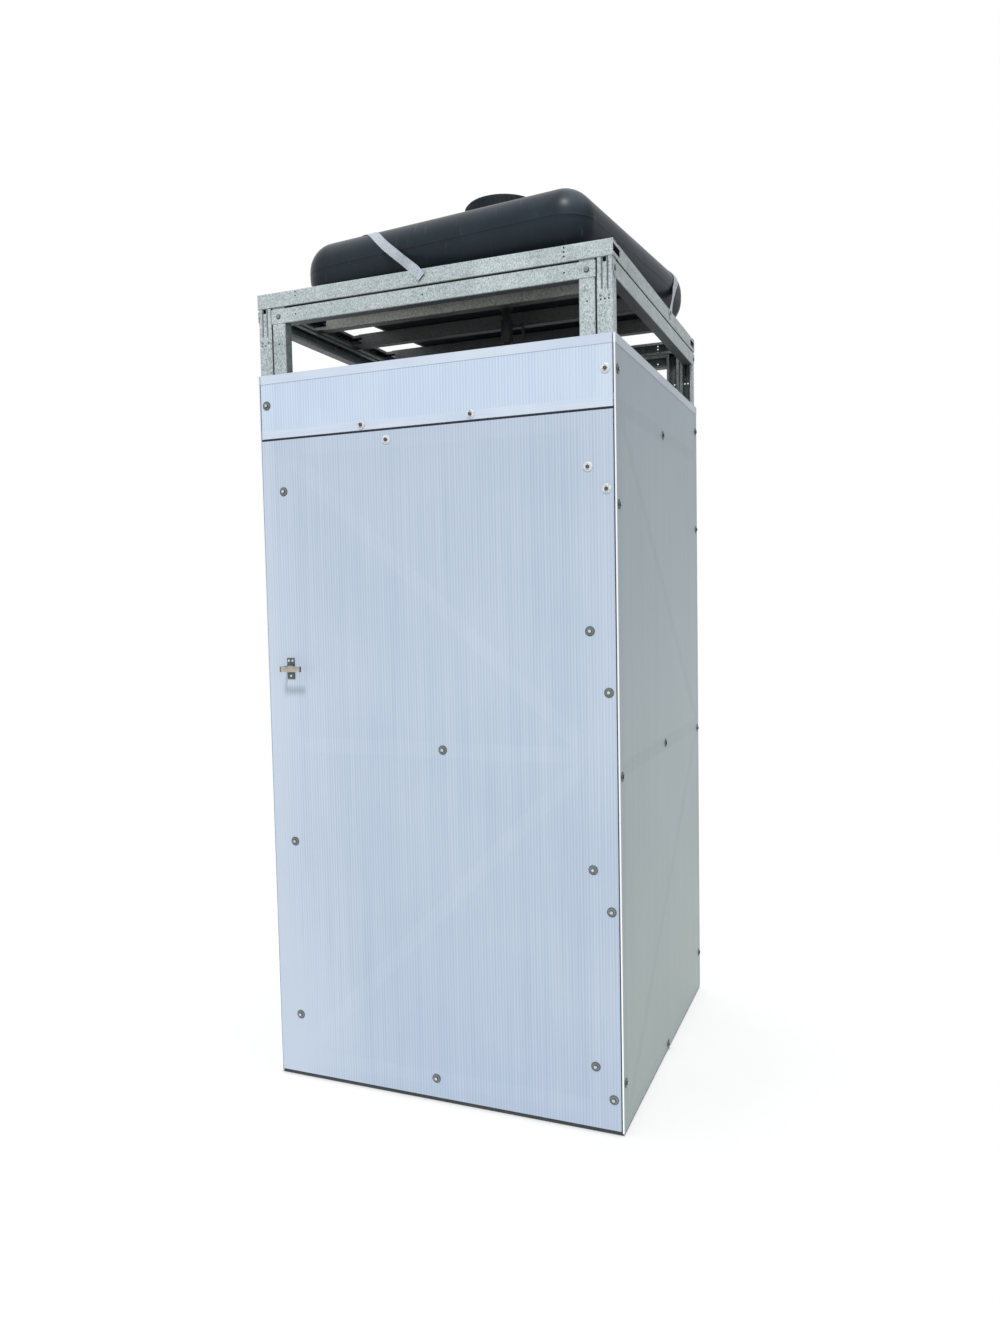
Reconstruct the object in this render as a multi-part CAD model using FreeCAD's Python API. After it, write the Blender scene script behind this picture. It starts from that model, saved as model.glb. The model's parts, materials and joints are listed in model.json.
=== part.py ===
# Outdoor shower cabin: a crimped steel channel frame, cellular plastic sheets and a flat water tank on top.
# Millimetres, +Z up. The origin is on the ground at the middle of the plan, and the door is on the -Y side.
import FreeCAD, Part
import os
from math import acos, atan2, cos, pi, radians, sin, sqrt, tan

Vector = FreeCAD.Vector
X, Y, Z = Vector(1, 0, 0), Vector(0, 1, 0), Vector(0, 0, 1)

# Overall steel frame
WIDTH = 1000.0
DEPTH = 1000.0
HEIGHT = 2180.0

# Cold-formed lipped channel
STEEL = 1.2
WEB = 40.0
FLANGE = 30.0
LIP = 8.0
BEND = 1.6

# Crimped channel ends: two pressed grooves, a slot in the web and drawn-in flanges
GROOVE_AT = 7.0
GROOVE_HALF = 2.2
GROOVE_DEPTH = 1.5
GROOVE_RUN = 74.0
GROOVE_FADE = 8.0
POST_SQUEEZE = 0.8
POST_SLOT = 12.0
SLOT_WIDTH = 9.0
NEST_SLOT = 62.0
NEST_SLOT_WIDTH = 18.0
NEST_RUN = 46.0

# Punched holes; those of the ring are heights from its middle, at its left and right ends
PUNCH_R = 2.3
PUNCH_SIDES = 8
PUNCH_STEP = 10.0
PUNCH_BELOW = 98.0
BAND_HOLE_AT = 121.0
RING_HOLES = {-1: (14.0, 4.0), 1: (14.0, 4.0, -6.0)}
ANCHOR_R = 4.5
ANCHOR_SPAN = 700.0

# Fits
NEST_CLEAR = 0.4
BUTT_CLEAR = 0.3
TRIM_CLEAR = 1.0
BAND_GAP = 4.5
SEAM = 4.0
RUN_CLEAR = 0.05
LIFT_CLEAR = 0.4

# Rails: the middle ones' height as a share of the whole, and the joists' places from front to back
MID_SHARE = 0.42
CHAMFER = 12.0
JOISTS_Y = (-255.0, -46.0, 172.0)

# Cellular sheets and their edge caps
SHEET = 4.0
SHEET_LOW = 8.0
SHEET_LAP = 3.5
VENT = 135.5
FASCIA_TALL = 169.0
HEADER_UP = 13.0
GIRT_DOWN = 164.0
CAP_WALL = 1.0
CAP_LEG = 22.0

# Door leaf
DOOR_PROUD = 0.5
DOOR_GAP = 4.0
DOOR_MID_SHARE = 0.534
DOOR_SHEET_LOW = 12.0
DOOR_SHEET_GAP = 5.0
FLAP_WIDTH = 51.0
CLEAT = 28.0
CLEAT_WALL = 2.0

# Hidden butt hinges
HINGE_GAP = 6.0
HINGE_TALL = 75.0
HINGE_SHARES = (0.124, 0.888)
KNUCKLE_R = 2.5
KNUCKLE_SIDES = 8
HINGE_PIN_R = 1.3
HINGE_SPARE = 0.4
LEAF_WALL = 1.2
LEAF_DEEP = 25.0

# Sheet screws with their sealing washers, and the dome bolts of the open top
WASHER_R = 12.0
WASHER_TALL = 1.8
WASHER_SIDES = 8
HEX_SIDES = 6
SCREW_HEAD_R = 5.0
SCREW_HEAD_TALL = 3.6
SHANK_R = 2.4
SHANK_SIDES = 4
SCREW_LONG = 16.0
BOLT_HEAD_R = 7.0
BOLT_HEAD_TALL = 3.4
BOLT_DOME_R = 4.8
BOLT_SIDES = 8
BOLT_R = 3.0
BOLT_LONG = 14.0
BOLT_CLEAR = 0.3

# Screw places, as shares of the door's or sheets' height, or of half the width
FASCIA_SCREW_DOWN = 80.0
HEADER_SCREWS = (-0.372, 0.256)
FLAP_SCREWS = (0.897, 0.622, 0.318, 0.051)
WALL_SCREWS = (0.959, 0.796, 0.459, 0.066)
LATCH_STILE_SCREWS = (0.924, 0.380, 0.101)
HINGE_STILE_SCREWS = (0.928, 0.706, 0.375, 0.095)
DOOR_TOP_SCREW = -0.226
DOOR_MID_SCREW = 0.060
DOOR_LOW_SCREW = -0.022

# Turning latch
LATCH_OFF = 5.8
LATCH_SHARE = 0.652
LATCH_PLATE = (24.0, 58.0, 1.6)
SPINDLE_R = 4.5
LATCH_STRIP = 3.0
LATCH_STRIP_TALL = 15.0
LATCH_HEEL = 12.0
LATCH_REACH = 36.0
LATCH_TIP = 54.0
TONGUE_LONG = 48.0
TONGUE_WIDE = 16.0
TONGUE_WALL = 3.0
TONGUE_CLEAR = 0.8

# Water tank and lid
TANK_LONG = 876.0
TANK_WIDE = 844.0
TANK_TALL = 185.0
TANK_WALL = 4.5
TANK_CORNER_R = 84.0
TANK_STEPS = 6
TANK_INNER_STEPS = 2
TANK_EDGE_TURN = 82.0
TANK_X = 22.0
TANK_Y = 13.0
TANK_TURN = -6.2
CROWN_R = 210.0
CROWN_TALL = 45.0
NECK_R = 94.0
NECK_TALL = 94.0
LID_R = 113.0
LID_TALL = 66.0
LID_WALL = 4.0
LID_SIDES = 36

# Galvanised straps over two opposite corners of the tank, each laid out as over the front left corner:
# where it leaves the ring's front, its crests on the tank's two top edges, and where it meets the left side
STRAP_WIDE = 25.0
STRAP_WALL = 1.0
STRAP_CLEAR = 2.5
STRAP_TAIL = 30.0
STRAP_BOLT = 9.0
ARC_STEPS = 5
FRONT_STRAP = {"front_x": -20.0, "crest_x": -250.0, "crest_y": -150.0, "side_y": -90.0}
REAR_STRAP = {"front_x": -170.0, "crest_x": -330.0, "crest_y": -262.0, "side_y": -139.0}

# Outlet, valve and shower rose under the tank
ROUND_SIDES = 16
VALVE_SIDES = 8
OUTLET_X = 85.0
OUTLET_Y = -130.0
OUTLET_R = 13.0
OUTLET_BORE_R = 9.5
OUTLET_FLANGE_R = 26.0
OUTLET_FLANGE_TALL = 5.0
OUTLET_LONG = 60.0
GASKET_TALL = 3.0
NUT_R = 22.0
NUT_TALL = 12.0
VALVE_R = 18.0
VALVE_TALL = 64.0
VALVE_SEAT = 14.0
STEM_R = 4.0
STEM_DEEP = 9.0
LEVER_OFF = 48.0
LEVER_LONG = 60.0
LEVER_WIDE = 14.0
LEVER_WALL = 3.0
NECK_PIPE_R = 10.0
NECK_PIPE_LONG = 10.0
ROSE_R = 42.0
ROSE_TALL = 14.0
ROSE_RIM = 7.0

# Planes that follow from the sizes above
HALF_W = WIDTH / 2
HALF_D = DEPTH / 2
FACE_X = HALF_W - STEEL
FACE_Y = HALF_D - STEEL
RING_Z = HEIGHT - WEB / 2
POST_TOP = HEIGHT - WEB
BAND_Z = POST_TOP - BAND_GAP - WEB / 2
BASE_Z = WEB / 2
MID_Z = HEIGHT * MID_SHARE
SHEET_TOP = BAND_Z - WEB / 2 - VENT
FASCIA_LOW = SHEET_TOP - FASCIA_TALL
HEADER_Z = FASCIA_LOW + HEADER_UP
GIRT_Z = SHEET_TOP - GIRT_DOWN
DOOR_Y = HALF_D + DOOR_PROUD
DOOR_LOW = WEB + DOOR_GAP
DOOR_TOP = HEADER_Z - WEB / 2 - DOOR_GAP
DOOR_MID_Z = DOOR_TOP * DOOR_MID_SHARE
DOOR_SHEET_TOP = FASCIA_LOW - DOOR_SHEET_GAP
UPRIGHT_X = FACE_X - WEB - SEAM - WEB / 2
STILE_X = FACE_X - WEB - HINGE_GAP - WEB / 2
HINGE_X = FACE_X - WEB - HINGE_GAP / 2
HINGE_Y = -DOOR_Y + KNUCKLE_R + HINGE_SPARE
FLAP_X = HALF_W - SHEET_LAP - FLAP_WIDTH
LATCH_X = LATCH_OFF - STILE_X
LATCH_Z = DOOR_TOP * LATCH_SHARE
TANK_TOP = HEIGHT + TANK_TALL
TANK_MIDDLE = Vector(TANK_X, TANK_Y, 0)
CROWN_TOP = TANK_TOP + CROWN_TALL
NECK_TOP = CROWN_TOP + NECK_TALL


# Shape helpers

def thicken(path, wall):
    """Closed outline of an open path that gets a wall on its left-hand side."""
    normals = []
    for (a, b), (c, d) in zip(path, path[1:]):
        run = sqrt((c - a) ** 2 + (d - b) ** 2)
        normals.append(((b - d) / run, (c - a) / run))
    inner = []
    for (a, b), (p, q), (r, s) in zip(path, normals[:1] + normals, normals + normals[-1:]):
        mitre = wall / (1 + p * r + q * s)
        inner.append((a + mitre * (p + r), b + mitre * (q + s)))
    return path + inner[::-1]


def outline(points, origin, across, inward):
    """Closed wire of flat points set out from an origin along two directions."""
    placed = [origin + across * a + inward * b for a, b in points]
    return Part.makePolygon(placed + placed[:1])


def prism(points, origin, across, inward, run):
    """Solid of a flat outline pushed along the vector run."""
    return Part.Face(outline(points, origin, across, inward)).extrude(run)


def block(low, high):
    """Box between two corners, given in any order."""
    least = Vector(*[min(a, b) for a, b in zip(low, high)])
    size = Vector(*[abs(b - a) for a, b in zip(low, high)])
    return Part.makeBox(size.x, size.y, size.z, least)


def polygon(sides, radius):
    """Corners of a regular polygon, given its corner radius."""
    angles = [2 * pi * k / sides for k in range(sides)]
    return [(radius * cos(a), radius * sin(a)) for a in angles]


def through_edges(shape, direction):
    """Straight edges of a shape that run along a direction."""
    return [e for e in shape.Edges if abs(e.tangentAt(e.FirstParameter).dot(direction)) > cos(pi / 4)]


def skinned(rings):
    """Solid with flat faces between rings of points, closed at both ends."""
    loops = [rings[0], rings[-1]]
    for low, high in zip(rings, rings[1:]):
        for k in range(len(low)):
            loops.append([low[k - 1], low[k], high[k], high[k - 1]])
    faces = [Part.Face(Part.makePolygon(loop + loop[:1])) for loop in loops]
    return Part.makeSolid(Part.makeShell(faces))


def turned(levels, base, along, sides):
    """Round form in flats, through levels of (radius, distance) from a point along a direction."""
    across = X if along.cross(X).Length > along.cross(Z).Length else Z
    other = along.cross(across)
    rings = []
    for radius, distance in levels:
        rings.append([base + across * a + other * b + along * distance for a, b in polygon(sides, radius)])
    return skinned(rings)


def disc(radius, tall, base, along, sides):
    """Round bar in flats."""
    return turned([(radius, 0.0), (radius, tall)], base, along, sides)


def save(name, *solids):
    """Write one node, as one solid or as a group of separate solids."""
    shape = solids[0] if len(solids) == 1 else Part.makeCompound(list(solids))
    shape.exportStep("parts/" + name + ".step")


# Channel members

def channel(squeeze=0.0, groove=None):
    """Outline of the lipped channel: across its web, then inward from the web's outer face."""
    half = WEB / 2 - squeeze
    right = [(half - BEND, 0.0), (half, BEND), (half, FLANGE), (half - LIP, FLANGE)]
    if groove is not None:
        right = [(GROOVE_AT - GROOVE_HALF, 0.0), (GROOVE_AT, groove), (GROOVE_AT + GROOVE_HALF, 0.0)] + right
    left = [(-a, b) for a, b in reversed(right)]
    return thicken(left + right, STEEL)


def plain(origin, across, inward, run):
    """Straight channel with square ends."""
    return prism(channel(), origin, across, inward, run)


def crimped(origin, across, inward, along, stations):
    """Channel lofted through stations of (distance, squeeze, groove depth)."""
    wires = []
    for distance, squeeze, groove in stations:
        wires.append(outline(channel(squeeze, groove), origin + along * distance, across, inward))
    return Part.makeLoft(wires, True, True)


def cutter(origin, across, inward, along, a_span, b_span, s_span):
    """Box given in a member's own directions."""
    corners = [(a, b) for a, b in zip((a_span[0], a_span[1], a_span[1], a_span[0]),
                                      (b_span[0], b_span[0], b_span[1], b_span[1]))]
    return prism(corners, origin + along * s_span[0], across, inward, along * (s_span[1] - s_span[0]))


def punch(shape, places, inward):
    """Small round holes through a web, at points on its outer face."""
    for place in places:
        shape = shape.cut(disc(PUNCH_R, 3 * STEEL, place - inward * STEEL, inward, PUNCH_SIDES))
    return shape


def rail(start, along, length, inward, tab):
    """Rail with its flanges trimmed at both ends, so that its web laps the uprights as a tab."""
    shape = plain(start, Z, inward, along * length)
    for s_span in ((-TRIM_CLEAR, tab), (length - tab, length + TRIM_CLEAR)):
        shape = shape.cut(cutter(start, Z, inward, along, (-WEB, WEB), (STEEL, 2 * FLANGE), s_span))
    return shape


def nested(start, along, length, inward):
    """Member whose squeezed and slotted ends slide between the flanges of the channels it meets."""
    squeeze = STEEL + NEST_CLEAR
    stations = [(0, squeeze, None), (NEST_RUN, squeeze, None), (NEST_RUN + GROOVE_FADE, 0, None)]
    mirrored = [(length - s, q, g) for s, q, g in reversed(stations)]
    shape = crimped(start, Z, inward, along, stations + mirrored)
    for s_span in ((-STEEL, NEST_SLOT), (length - NEST_SLOT, length + STEEL)):
        slot = (-NEST_SLOT_WIDTH / 2, NEST_SLOT_WIDTH / 2)
        shape = shape.cut(cutter(start, Z, inward, along, slot, (-STEEL, FLANGE / 2), s_span))
    return shape


def unlipped(shape, start, along, inward, s_span):
    """Member with its lips notched away where another member enters it."""
    gap = (STEEL - WEB / 2, WEB / 2 - STEEL)
    return shape.cut(cutter(start, Z, inward, along, gap, (FLANGE - STEEL, 2 * FLANGE), s_span))


def brace(low, high, normal, bay_low, bay_high):
    """Channel laid from corner to corner of a bay, with its ends cut to the bay's edges."""
    along = (high - low).normalize()
    across = along.cross(normal)
    reach = along * (2 * WEB)
    bar = plain(low - reach, across, normal * -1, high - low + reach * 2)
    return bar.common(block(bay_low, bay_high))


def post(side, end):
    """Corner post: crimped and slotted at the top, with a row of punched holes below the grooves."""
    start = Vector(side * (FACE_X - WEB / 2), end * FACE_Y, 0)
    inward = Y * -end
    full = POST_TOP - GROOVE_RUN
    stations = [(0, 0, 0), (full - GROOVE_FADE, 0, 0), (full, 0, GROOVE_DEPTH),
                (POST_TOP, POST_SQUEEZE, GROOVE_DEPTH)]
    shape = crimped(start, X, inward, Z, stations)
    slot = (-SLOT_WIDTH / 2, SLOT_WIDTH / 2)
    shape = shape.cut(cutter(start, X, inward, Z, slot, (-STEEL, FLANGE / 2), (POST_TOP - POST_SLOT, HEIGHT)))
    row = [start + X * (k * PUNCH_STEP) + Z * (POST_TOP - PUNCH_BELOW) for k in (-1, 0, 1)]
    return punch(shape, row, inward)


def upright(side, end):
    """Short upright between the header and the ring, beside a post."""
    foot = (HEADER_Z if end < 0 else GIRT_Z) + WEB / 2
    start = Vector(side * UPRIGHT_X, end * FACE_Y, foot)
    shape = plain(start, X, Y * -end, Z * (POST_TOP - foot))
    return punch(shape, [Vector(start.x, start.y, POST_TOP - PUNCH_BELOW)], Y * -end)


# Screws, bolts and other small pieces

def screw(place, outward):
    """Self-drilling hexagon screw with its sealing washer, seated on a sheet."""
    head = disc(SCREW_HEAD_R, WASHER_TALL + SCREW_HEAD_TALL, place, outward, HEX_SIDES)
    washer = disc(WASHER_R, WASHER_TALL, place, outward, WASHER_SIDES)
    shank = disc(SHANK_R, SCREW_LONG, place, outward * -1, SHANK_SIDES)
    return head.fuse([washer, shank]).removeSplitter()


def bolt(place, outward):
    """Dome-headed bolt, seated on a channel."""
    dome = turned([(BOLT_HEAD_R, 0.0), (BOLT_DOME_R, BOLT_HEAD_TALL)], place, outward, BOLT_SIDES)
    shank = disc(BOLT_R, BOLT_LONG, place, outward * -1, SHANK_SIDES)
    return dome.fuse(shank).removeSplitter()


def bolt_places():
    """Seats and directions of the dome bolts in the top rails and in three of the strap tails."""
    places = []
    for side in (-1, 1):
        for end in (-1, 1):
            places.append((Vector(side * UPRIGHT_X, end * HALF_D, BAND_Z), Y * end))
            places.append((Vector(side * HALF_W, end * (FACE_Y - FLANGE / 2), BAND_Z), X * side))
    low = HEIGHT - STRAP_BOLT
    places.append((Vector(-HALF_W - STRAP_WALL, FRONT_STRAP["side_y"] + STRAP_BOLT, low), X * -1))
    places.append((Vector(HALF_W + STRAP_WALL, -REAR_STRAP["side_y"] - STRAP_BOLT, low), X))
    places.append((Vector(-REAR_STRAP["front_x"] - STRAP_BOLT, HALF_D + STRAP_WALL, low), Y))
    return places


def drilled(shape):
    """Member with clearance holes wherever a dome bolt passes through it."""
    for place, outward in bolt_places():
        mouth = place + outward * STEEL
        hole = disc(BOLT_R + BOLT_CLEAR, BOLT_LONG + STEEL, mouth, outward * -1, PUNCH_SIDES)
        if shape.BoundBox.intersect(hole.BoundBox):
            shape = shape.cut(hole)
    return shape


def edge_cap(start, along, length, outward, edge, inner_leg):
    """Edge strip over a sheet's top (edge 1) or bottom (edge -1), with or without a leg behind the sheet."""
    path = [(SHEET, -CAP_LEG), (SHEET, 0.0), (0.0, 0.0), (0.0, -CAP_LEG)]
    if not inner_leg:
        path = path[:3]
    outer = [(b, edge * a) for b, a in path]
    return prism(thicken(outer, -edge * CAP_WALL), start, outward, Z, along * length)


def cleat(side, corner_z, up):
    """Small angle bracket in a corner of the door leaf."""
    legs = thicken([(CLEAT, 0.0), (0.0, 0.0), (0.0, CLEAT)], -CLEAT_WALL)
    start = Vector(side * (STILE_X - WEB / 2), STEEL + TRIM_CLEAR - DOOR_Y, corner_z)
    return prism(legs, start, X * -side, Z * up, Y * (FLANGE / 2))


# Tank and straps

def rounded(half_long, half_wide, low, high, radius, steps):
    """Box about the Z axis with all its edges rounded in flats, given its half sizes inside the rounding."""
    turn = radians(TANK_EDGE_TURN)
    angles = [turn * k / steps for k in range(steps + 1)]
    curve = [(radius * cos(t), radius * sin(t) / sin(turn)) for t in angles]
    levels = [(r, low + radius - rise) for r, rise in reversed(curve)]
    levels += [(r, high - radius + rise) for r, rise in curve]
    rings = []
    for reach, height in levels:
        ring = []
        for quarter, (a, b) in enumerate(((1, 1), (-1, 1), (-1, -1), (1, -1))):
            for k in range(steps + 1):
                t = (quarter + k / steps) * pi / 2
                ring.append(Vector(a * half_long + reach * cos(t), b * half_wide + reach * sin(t), height))
        rings.append(ring)
    return skinned(rings)


def tank_form(inset):
    """Rounded flat box with crown and neck; its inside is drawn in by the wall and has fewer flats."""
    steps = TANK_INNER_STEPS if inset else TANK_STEPS
    half_long = TANK_LONG / 2 - TANK_CORNER_R
    half_wide = TANK_WIDE / 2 - TANK_CORNER_R
    body = rounded(half_long, half_wide, HEIGHT + inset, TANK_TOP - inset, TANK_CORNER_R - inset, steps)
    body.rotate(Vector(0, 0, 0), Z, TANK_TURN)
    body.translate(TANK_MIDDLE)
    crown = [(CROWN_R - inset, TANK_TOP - inset - TANK_WALL), (NECK_R - inset, CROWN_TOP - inset),
             (NECK_R - inset, NECK_TOP + inset)]
    return body.fuse(turned(crown, TANK_MIDDLE, Z, LID_SIDES))


def tank():
    """Hollow moulded tank with a crowned top, a filler neck and an outlet hole in its floor."""
    base = Vector(OUTLET_X, OUTLET_Y, HEIGHT - TANK_WALL)
    hole = disc(OUTLET_R + BUTT_CLEAR, 3 * TANK_WALL, base, Z, ROUND_SIDES)
    return tank_form(0.0).cut(tank_form(TANK_WALL)).cut(hole).removeSplitter()


def front_gap(x, middle):
    """Distance from the ring's front face back to the front face of a tank with a given middle."""
    turn = radians(TANK_TURN)
    return HALF_D + middle.y + tan(turn) * (x - middle.x) - TANK_WIDE / 2 / cos(turn)


def side_gap(y, middle):
    """Distance from the ring's left face in to the left face of a tank with a given middle."""
    turn = radians(TANK_TURN)
    return HALF_W + middle.x - tan(turn) * (y - middle.y) - TANK_LONG / 2 / cos(turn)


def drape(gap, reach):
    """Strap's underside from a ring face, over the rounded tank edge behind it, to a reach on top."""
    radius = TANK_CORNER_R + STRAP_CLEAR
    middle = gap + TANK_CORNER_R
    level = TANK_TOP - TANK_CORNER_R
    drop = HEIGHT - level
    tangent = atan2(drop, -middle) % (2 * pi) - acos(radius / sqrt(middle ** 2 + drop ** 2))
    angles = [tangent + (pi / 2 - tangent) * k / ARC_STEPS for k in range(ARC_STEPS + 1)]
    crest = [(middle + radius * cos(t), level + radius * sin(t)) for t in angles]
    return [(0.0, HEIGHT - STRAP_TAIL), (0.0, HEIGHT)] + crest + [(reach, level + radius)]


def ribbon(points):
    """Upright prism over a plan outline, as high as the straps reach."""
    return prism(points, Z * HEIGHT, X, Y, Z * (2 * TANK_TALL))


def strap(front_x, crest_x, crest_y, side_y, middle):
    """Folded steel strap with its two tails flat on the ring's faces, over the tank's front left corner."""
    half = STRAP_WIDE / sqrt(2)
    front = front_gap((front_x + crest_x) / 2 + half, middle)
    side = side_gap(crest_y - half, middle)
    turn_x = side + TANK_CORNER_R - HALF_W
    turn_y = front + TANK_CORNER_R - HALF_D
    over_front = prism(thicken(drape(front, WIDTH), STRAP_WALL), X * -HALF_W - Y * HALF_D, Y, Z, X * WIDTH)
    over_side = prism(thicken(drape(side, WIDTH), STRAP_WALL), X * -HALF_W - Y * HALF_D, X, Z, Y * DEPTH)
    edge = STRAP_WALL * 2
    climb = ribbon([(front_x - half, -HALF_D - edge), (front_x + half, -HALF_D - edge),
                    (crest_x + half, turn_y), (crest_x - half, turn_y)])
    descent = ribbon([(-HALF_W - edge, side_y - half), (-HALF_W - edge, side_y + half),
                      (turn_x, crest_y + half), (turn_x, crest_y - half)])
    crossing = ribbon([(crest_x + half, turn_y), (crest_x - half, turn_y),
                       (turn_x, crest_y - half), (turn_x, crest_y + half)])
    tail = [(-half, 0.0), (half, 0.0), (STRAP_TAIL, half - STRAP_TAIL), (STRAP_TAIL - half, -STRAP_TAIL)]
    front_tail = prism(tail, Vector(front_x, -HALF_D - edge, HEIGHT), X, Z, Y * (2 * edge))
    side_tail = prism(tail, Vector(-HALF_W - edge, side_y, HEIGHT), Y, Z, X * (2 * edge))
    pieces = [over_front.common(climb), over_front.common(crossing), over_side.common(descent),
              over_front.common(front_tail), over_side.common(side_tail)]
    return pieces[0].fuse(pieces[1:]).removeSplitter()


# Corner posts, ring and rails

def build_frame():
    ends = {"front": -1, "rear": 1}
    sides = {"left": -1, "right": 1}
    for end_name, end in ends.items():
        inward = Y * -end
        for side_name, side in sides.items():
            save("post_" + end_name + "_" + side_name, drilled(post(side, end)))
        save(end_name + "_uprights", drilled(upright(-1, end)), drilled(upright(1, end)))
        save("ring_" + end_name, drilled(ring_beam(end)))
        start = Vector(-FACE_X + WEB + SEAM / 2, end * HALF_D, BAND_Z)
        band = rail(start, X, -2 * start.x, inward, WEB + SEAM)
        holes = [Vector(s * (HALF_W - BAND_HOLE_AT), start.y, BAND_Z) for s in (-1, 0, 1)]
        save("top_rail_" + end_name, drilled(punch(band, holes, inward)))
        levels = {"header_front": HEADER_Z, "sill_front": BASE_Z}
        if end > 0:
            levels = {"girt_rear": GIRT_Z, "mid_rail_rear": MID_Z, "bottom_rail_rear": BASE_Z}
        for name, level in levels.items():
            save(name, rail(Vector(-FACE_X, end * HALF_D, level), X, 2 * FACE_X, inward, WEB + TRIM_CLEAR))
    for side_name, side in sides.items():
        save("ring_" + side_name, drilled(ring_side(side)))
        levels = {"top_rail_": BAND_Z, "girt_": GIRT_Z, "mid_rail_": MID_Z, "bottom_rail_": BASE_Z}
        for name, level in levels.items():
            start = Vector(side * HALF_W, -FACE_Y, level)
            shape = rail(start, Y, 2 * FACE_Y, X * -side, FLANGE + TRIM_CLEAR)
            if level == BAND_Z:
                shape = drilled(chamfered(shape, start, side))
            if level == BASE_Z:
                shape = anchored(shape, side)
            save(name + side_name, shape)
    save("side_braces", *side_braces(-1), *side_braces(1))
    save("rear_braces", *rear_braces())
    save("tank_joists", *[joist(y) for y in JOISTS_Y])


def ring_beam(end):
    """Front or rear member of the top ring: full width, open ends, lips notched for the side members."""
    start = Vector(-HALF_W, end * HALF_D, RING_Z)
    inward = Y * -end
    shape = plain(start, Z, inward, X * WIDTH)
    entry = FLANGE + TRIM_CLEAR
    for s_span in ((-TRIM_CLEAR, entry), (WIDTH - entry, WIDTH + TRIM_CLEAR)):
        shape = unlipped(shape, start, X, inward, s_span)
    holes = []
    for side, rises in RING_HOLES.items():
        holes += [Vector(side * (HALF_W - BAND_HOLE_AT), start.y, RING_Z + rise) for rise in rises]
    return punch(shape, holes, inward)


def ring_side(side):
    """Side member of the top ring: crimped ends inside the end members, lips notched at the joists."""
    inset = STEEL + 2 * NEST_CLEAR
    start = Vector(side * HALF_W, inset - HALF_D, RING_Z)
    shape = nested(start, Y, DEPTH - 2 * inset, X * -side)
    for y in JOISTS_Y:
        entry = y - start.y
        shape = unlipped(shape, start, Y, X * -side, (entry - TRIM_CLEAR, entry + FLANGE + TRIM_CLEAR))
    return shape


def joist(y):
    """Cross member under the tank, between the side members of the ring."""
    inset = STEEL + 2 * NEST_CLEAR
    return nested(Vector(inset - HALF_W, y, RING_Z), X, WIDTH - 2 * inset, Y)


def chamfered(shape, start, side):
    """Side top rail with the lower corner of each tab cut off."""
    for end in (-1, 1):
        corner = Vector(start.x + side, end * FACE_Y, start.z - WEB / 2)
        wedge = [(-1.0, -1.0), (CHAMFER + 1.0, -1.0), (-1.0, CHAMFER + 1.0)]
        shape = shape.cut(prism(wedge, corner, Y * -end, Z, X * (-side * FLANGE)))
    return shape


def anchored(shape, side):
    """Side bottom rail with holes in its lower flange for ground anchors."""
    for end in (-1, 1):
        place = Vector(side * (HALF_W - FLANGE / 2), end * ANCHOR_SPAN / 2, -STEEL)
        shape = shape.cut(Part.makeCylinder(ANCHOR_R, 3 * STEEL, place))
    return shape


def side_braces(side):
    """Two diagonals in a side wall that meet at the rear post by the middle rail."""
    edge = FACE_Y - FLANGE - BUTT_CLEAR
    outer = side * HALF_W
    inner = side * (HALF_W - FLANGE)
    pairs = ((MID_Z, GIRT_Z, 1), (BASE_Z, MID_Z, -1))
    solids = []
    for low_z, high_z, lean in pairs:
        low = low_z + WEB / 2 + BUTT_CLEAR
        high = high_z - WEB / 2 - BUTT_CLEAR
        solids.append(brace(Vector(outer, lean * edge, low), Vector(outer, -lean * edge, high), X * side,
                            (inner, -edge, low), (outer, edge, high)))
    return solids


def rear_braces():
    """Two diagonals in the rear wall."""
    edge = FACE_X - WEB - BUTT_CLEAR
    solids = []
    for low_z, high_z, lean in ((MID_Z, GIRT_Z, 1), (BASE_Z, MID_Z, -1)):
        low = low_z + WEB / 2 + BUTT_CLEAR
        high = high_z - WEB / 2 - BUTT_CLEAR
        solids.append(brace(Vector(lean * edge, HALF_D, low), Vector(-lean * edge, HALF_D, high), Y,
                            (-edge, HALF_D - FLANGE, low), (edge, HALF_D, high)))
    return solids


# Sheets, their edge caps and screws

def build_sheets():
    span = HALF_W - SHEET_LAP
    save("fascia_sheet", block((-span, -HALF_D - SHEET, FASCIA_LOW), (span, -HALF_D, SHEET_TOP)))
    save("rear_sheet", block((-span, HALF_D, SHEET_LOW), (span, HALF_D + SHEET, SHEET_TOP)))
    reach = DOOR_Y + SHEET
    for name, side in (("left", -1), ("right", 1)):
        low = (side * HALF_W, -reach, SHEET_LOW)
        save("side_sheet_" + name, block(low, (side * (HALF_W + SHEET), reach, SHEET_TOP)))
    caps = [edge_cap(Vector(-span, -HALF_D, SHEET_TOP), X, 2 * span, Y * -1, 1, True),
            edge_cap(Vector(-span, -HALF_D, FASCIA_LOW), X, 2 * span, Y * -1, -1, False),
            edge_cap(Vector(-span, HALF_D, SHEET_TOP), X, 2 * span, Y, 1, True)]
    for side in (-1, 1):
        caps.append(edge_cap(Vector(side * HALF_W, -reach, SHEET_TOP), Y, 2 * reach, X * side, 1, True))
    save("edge_caps", *caps)


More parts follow.
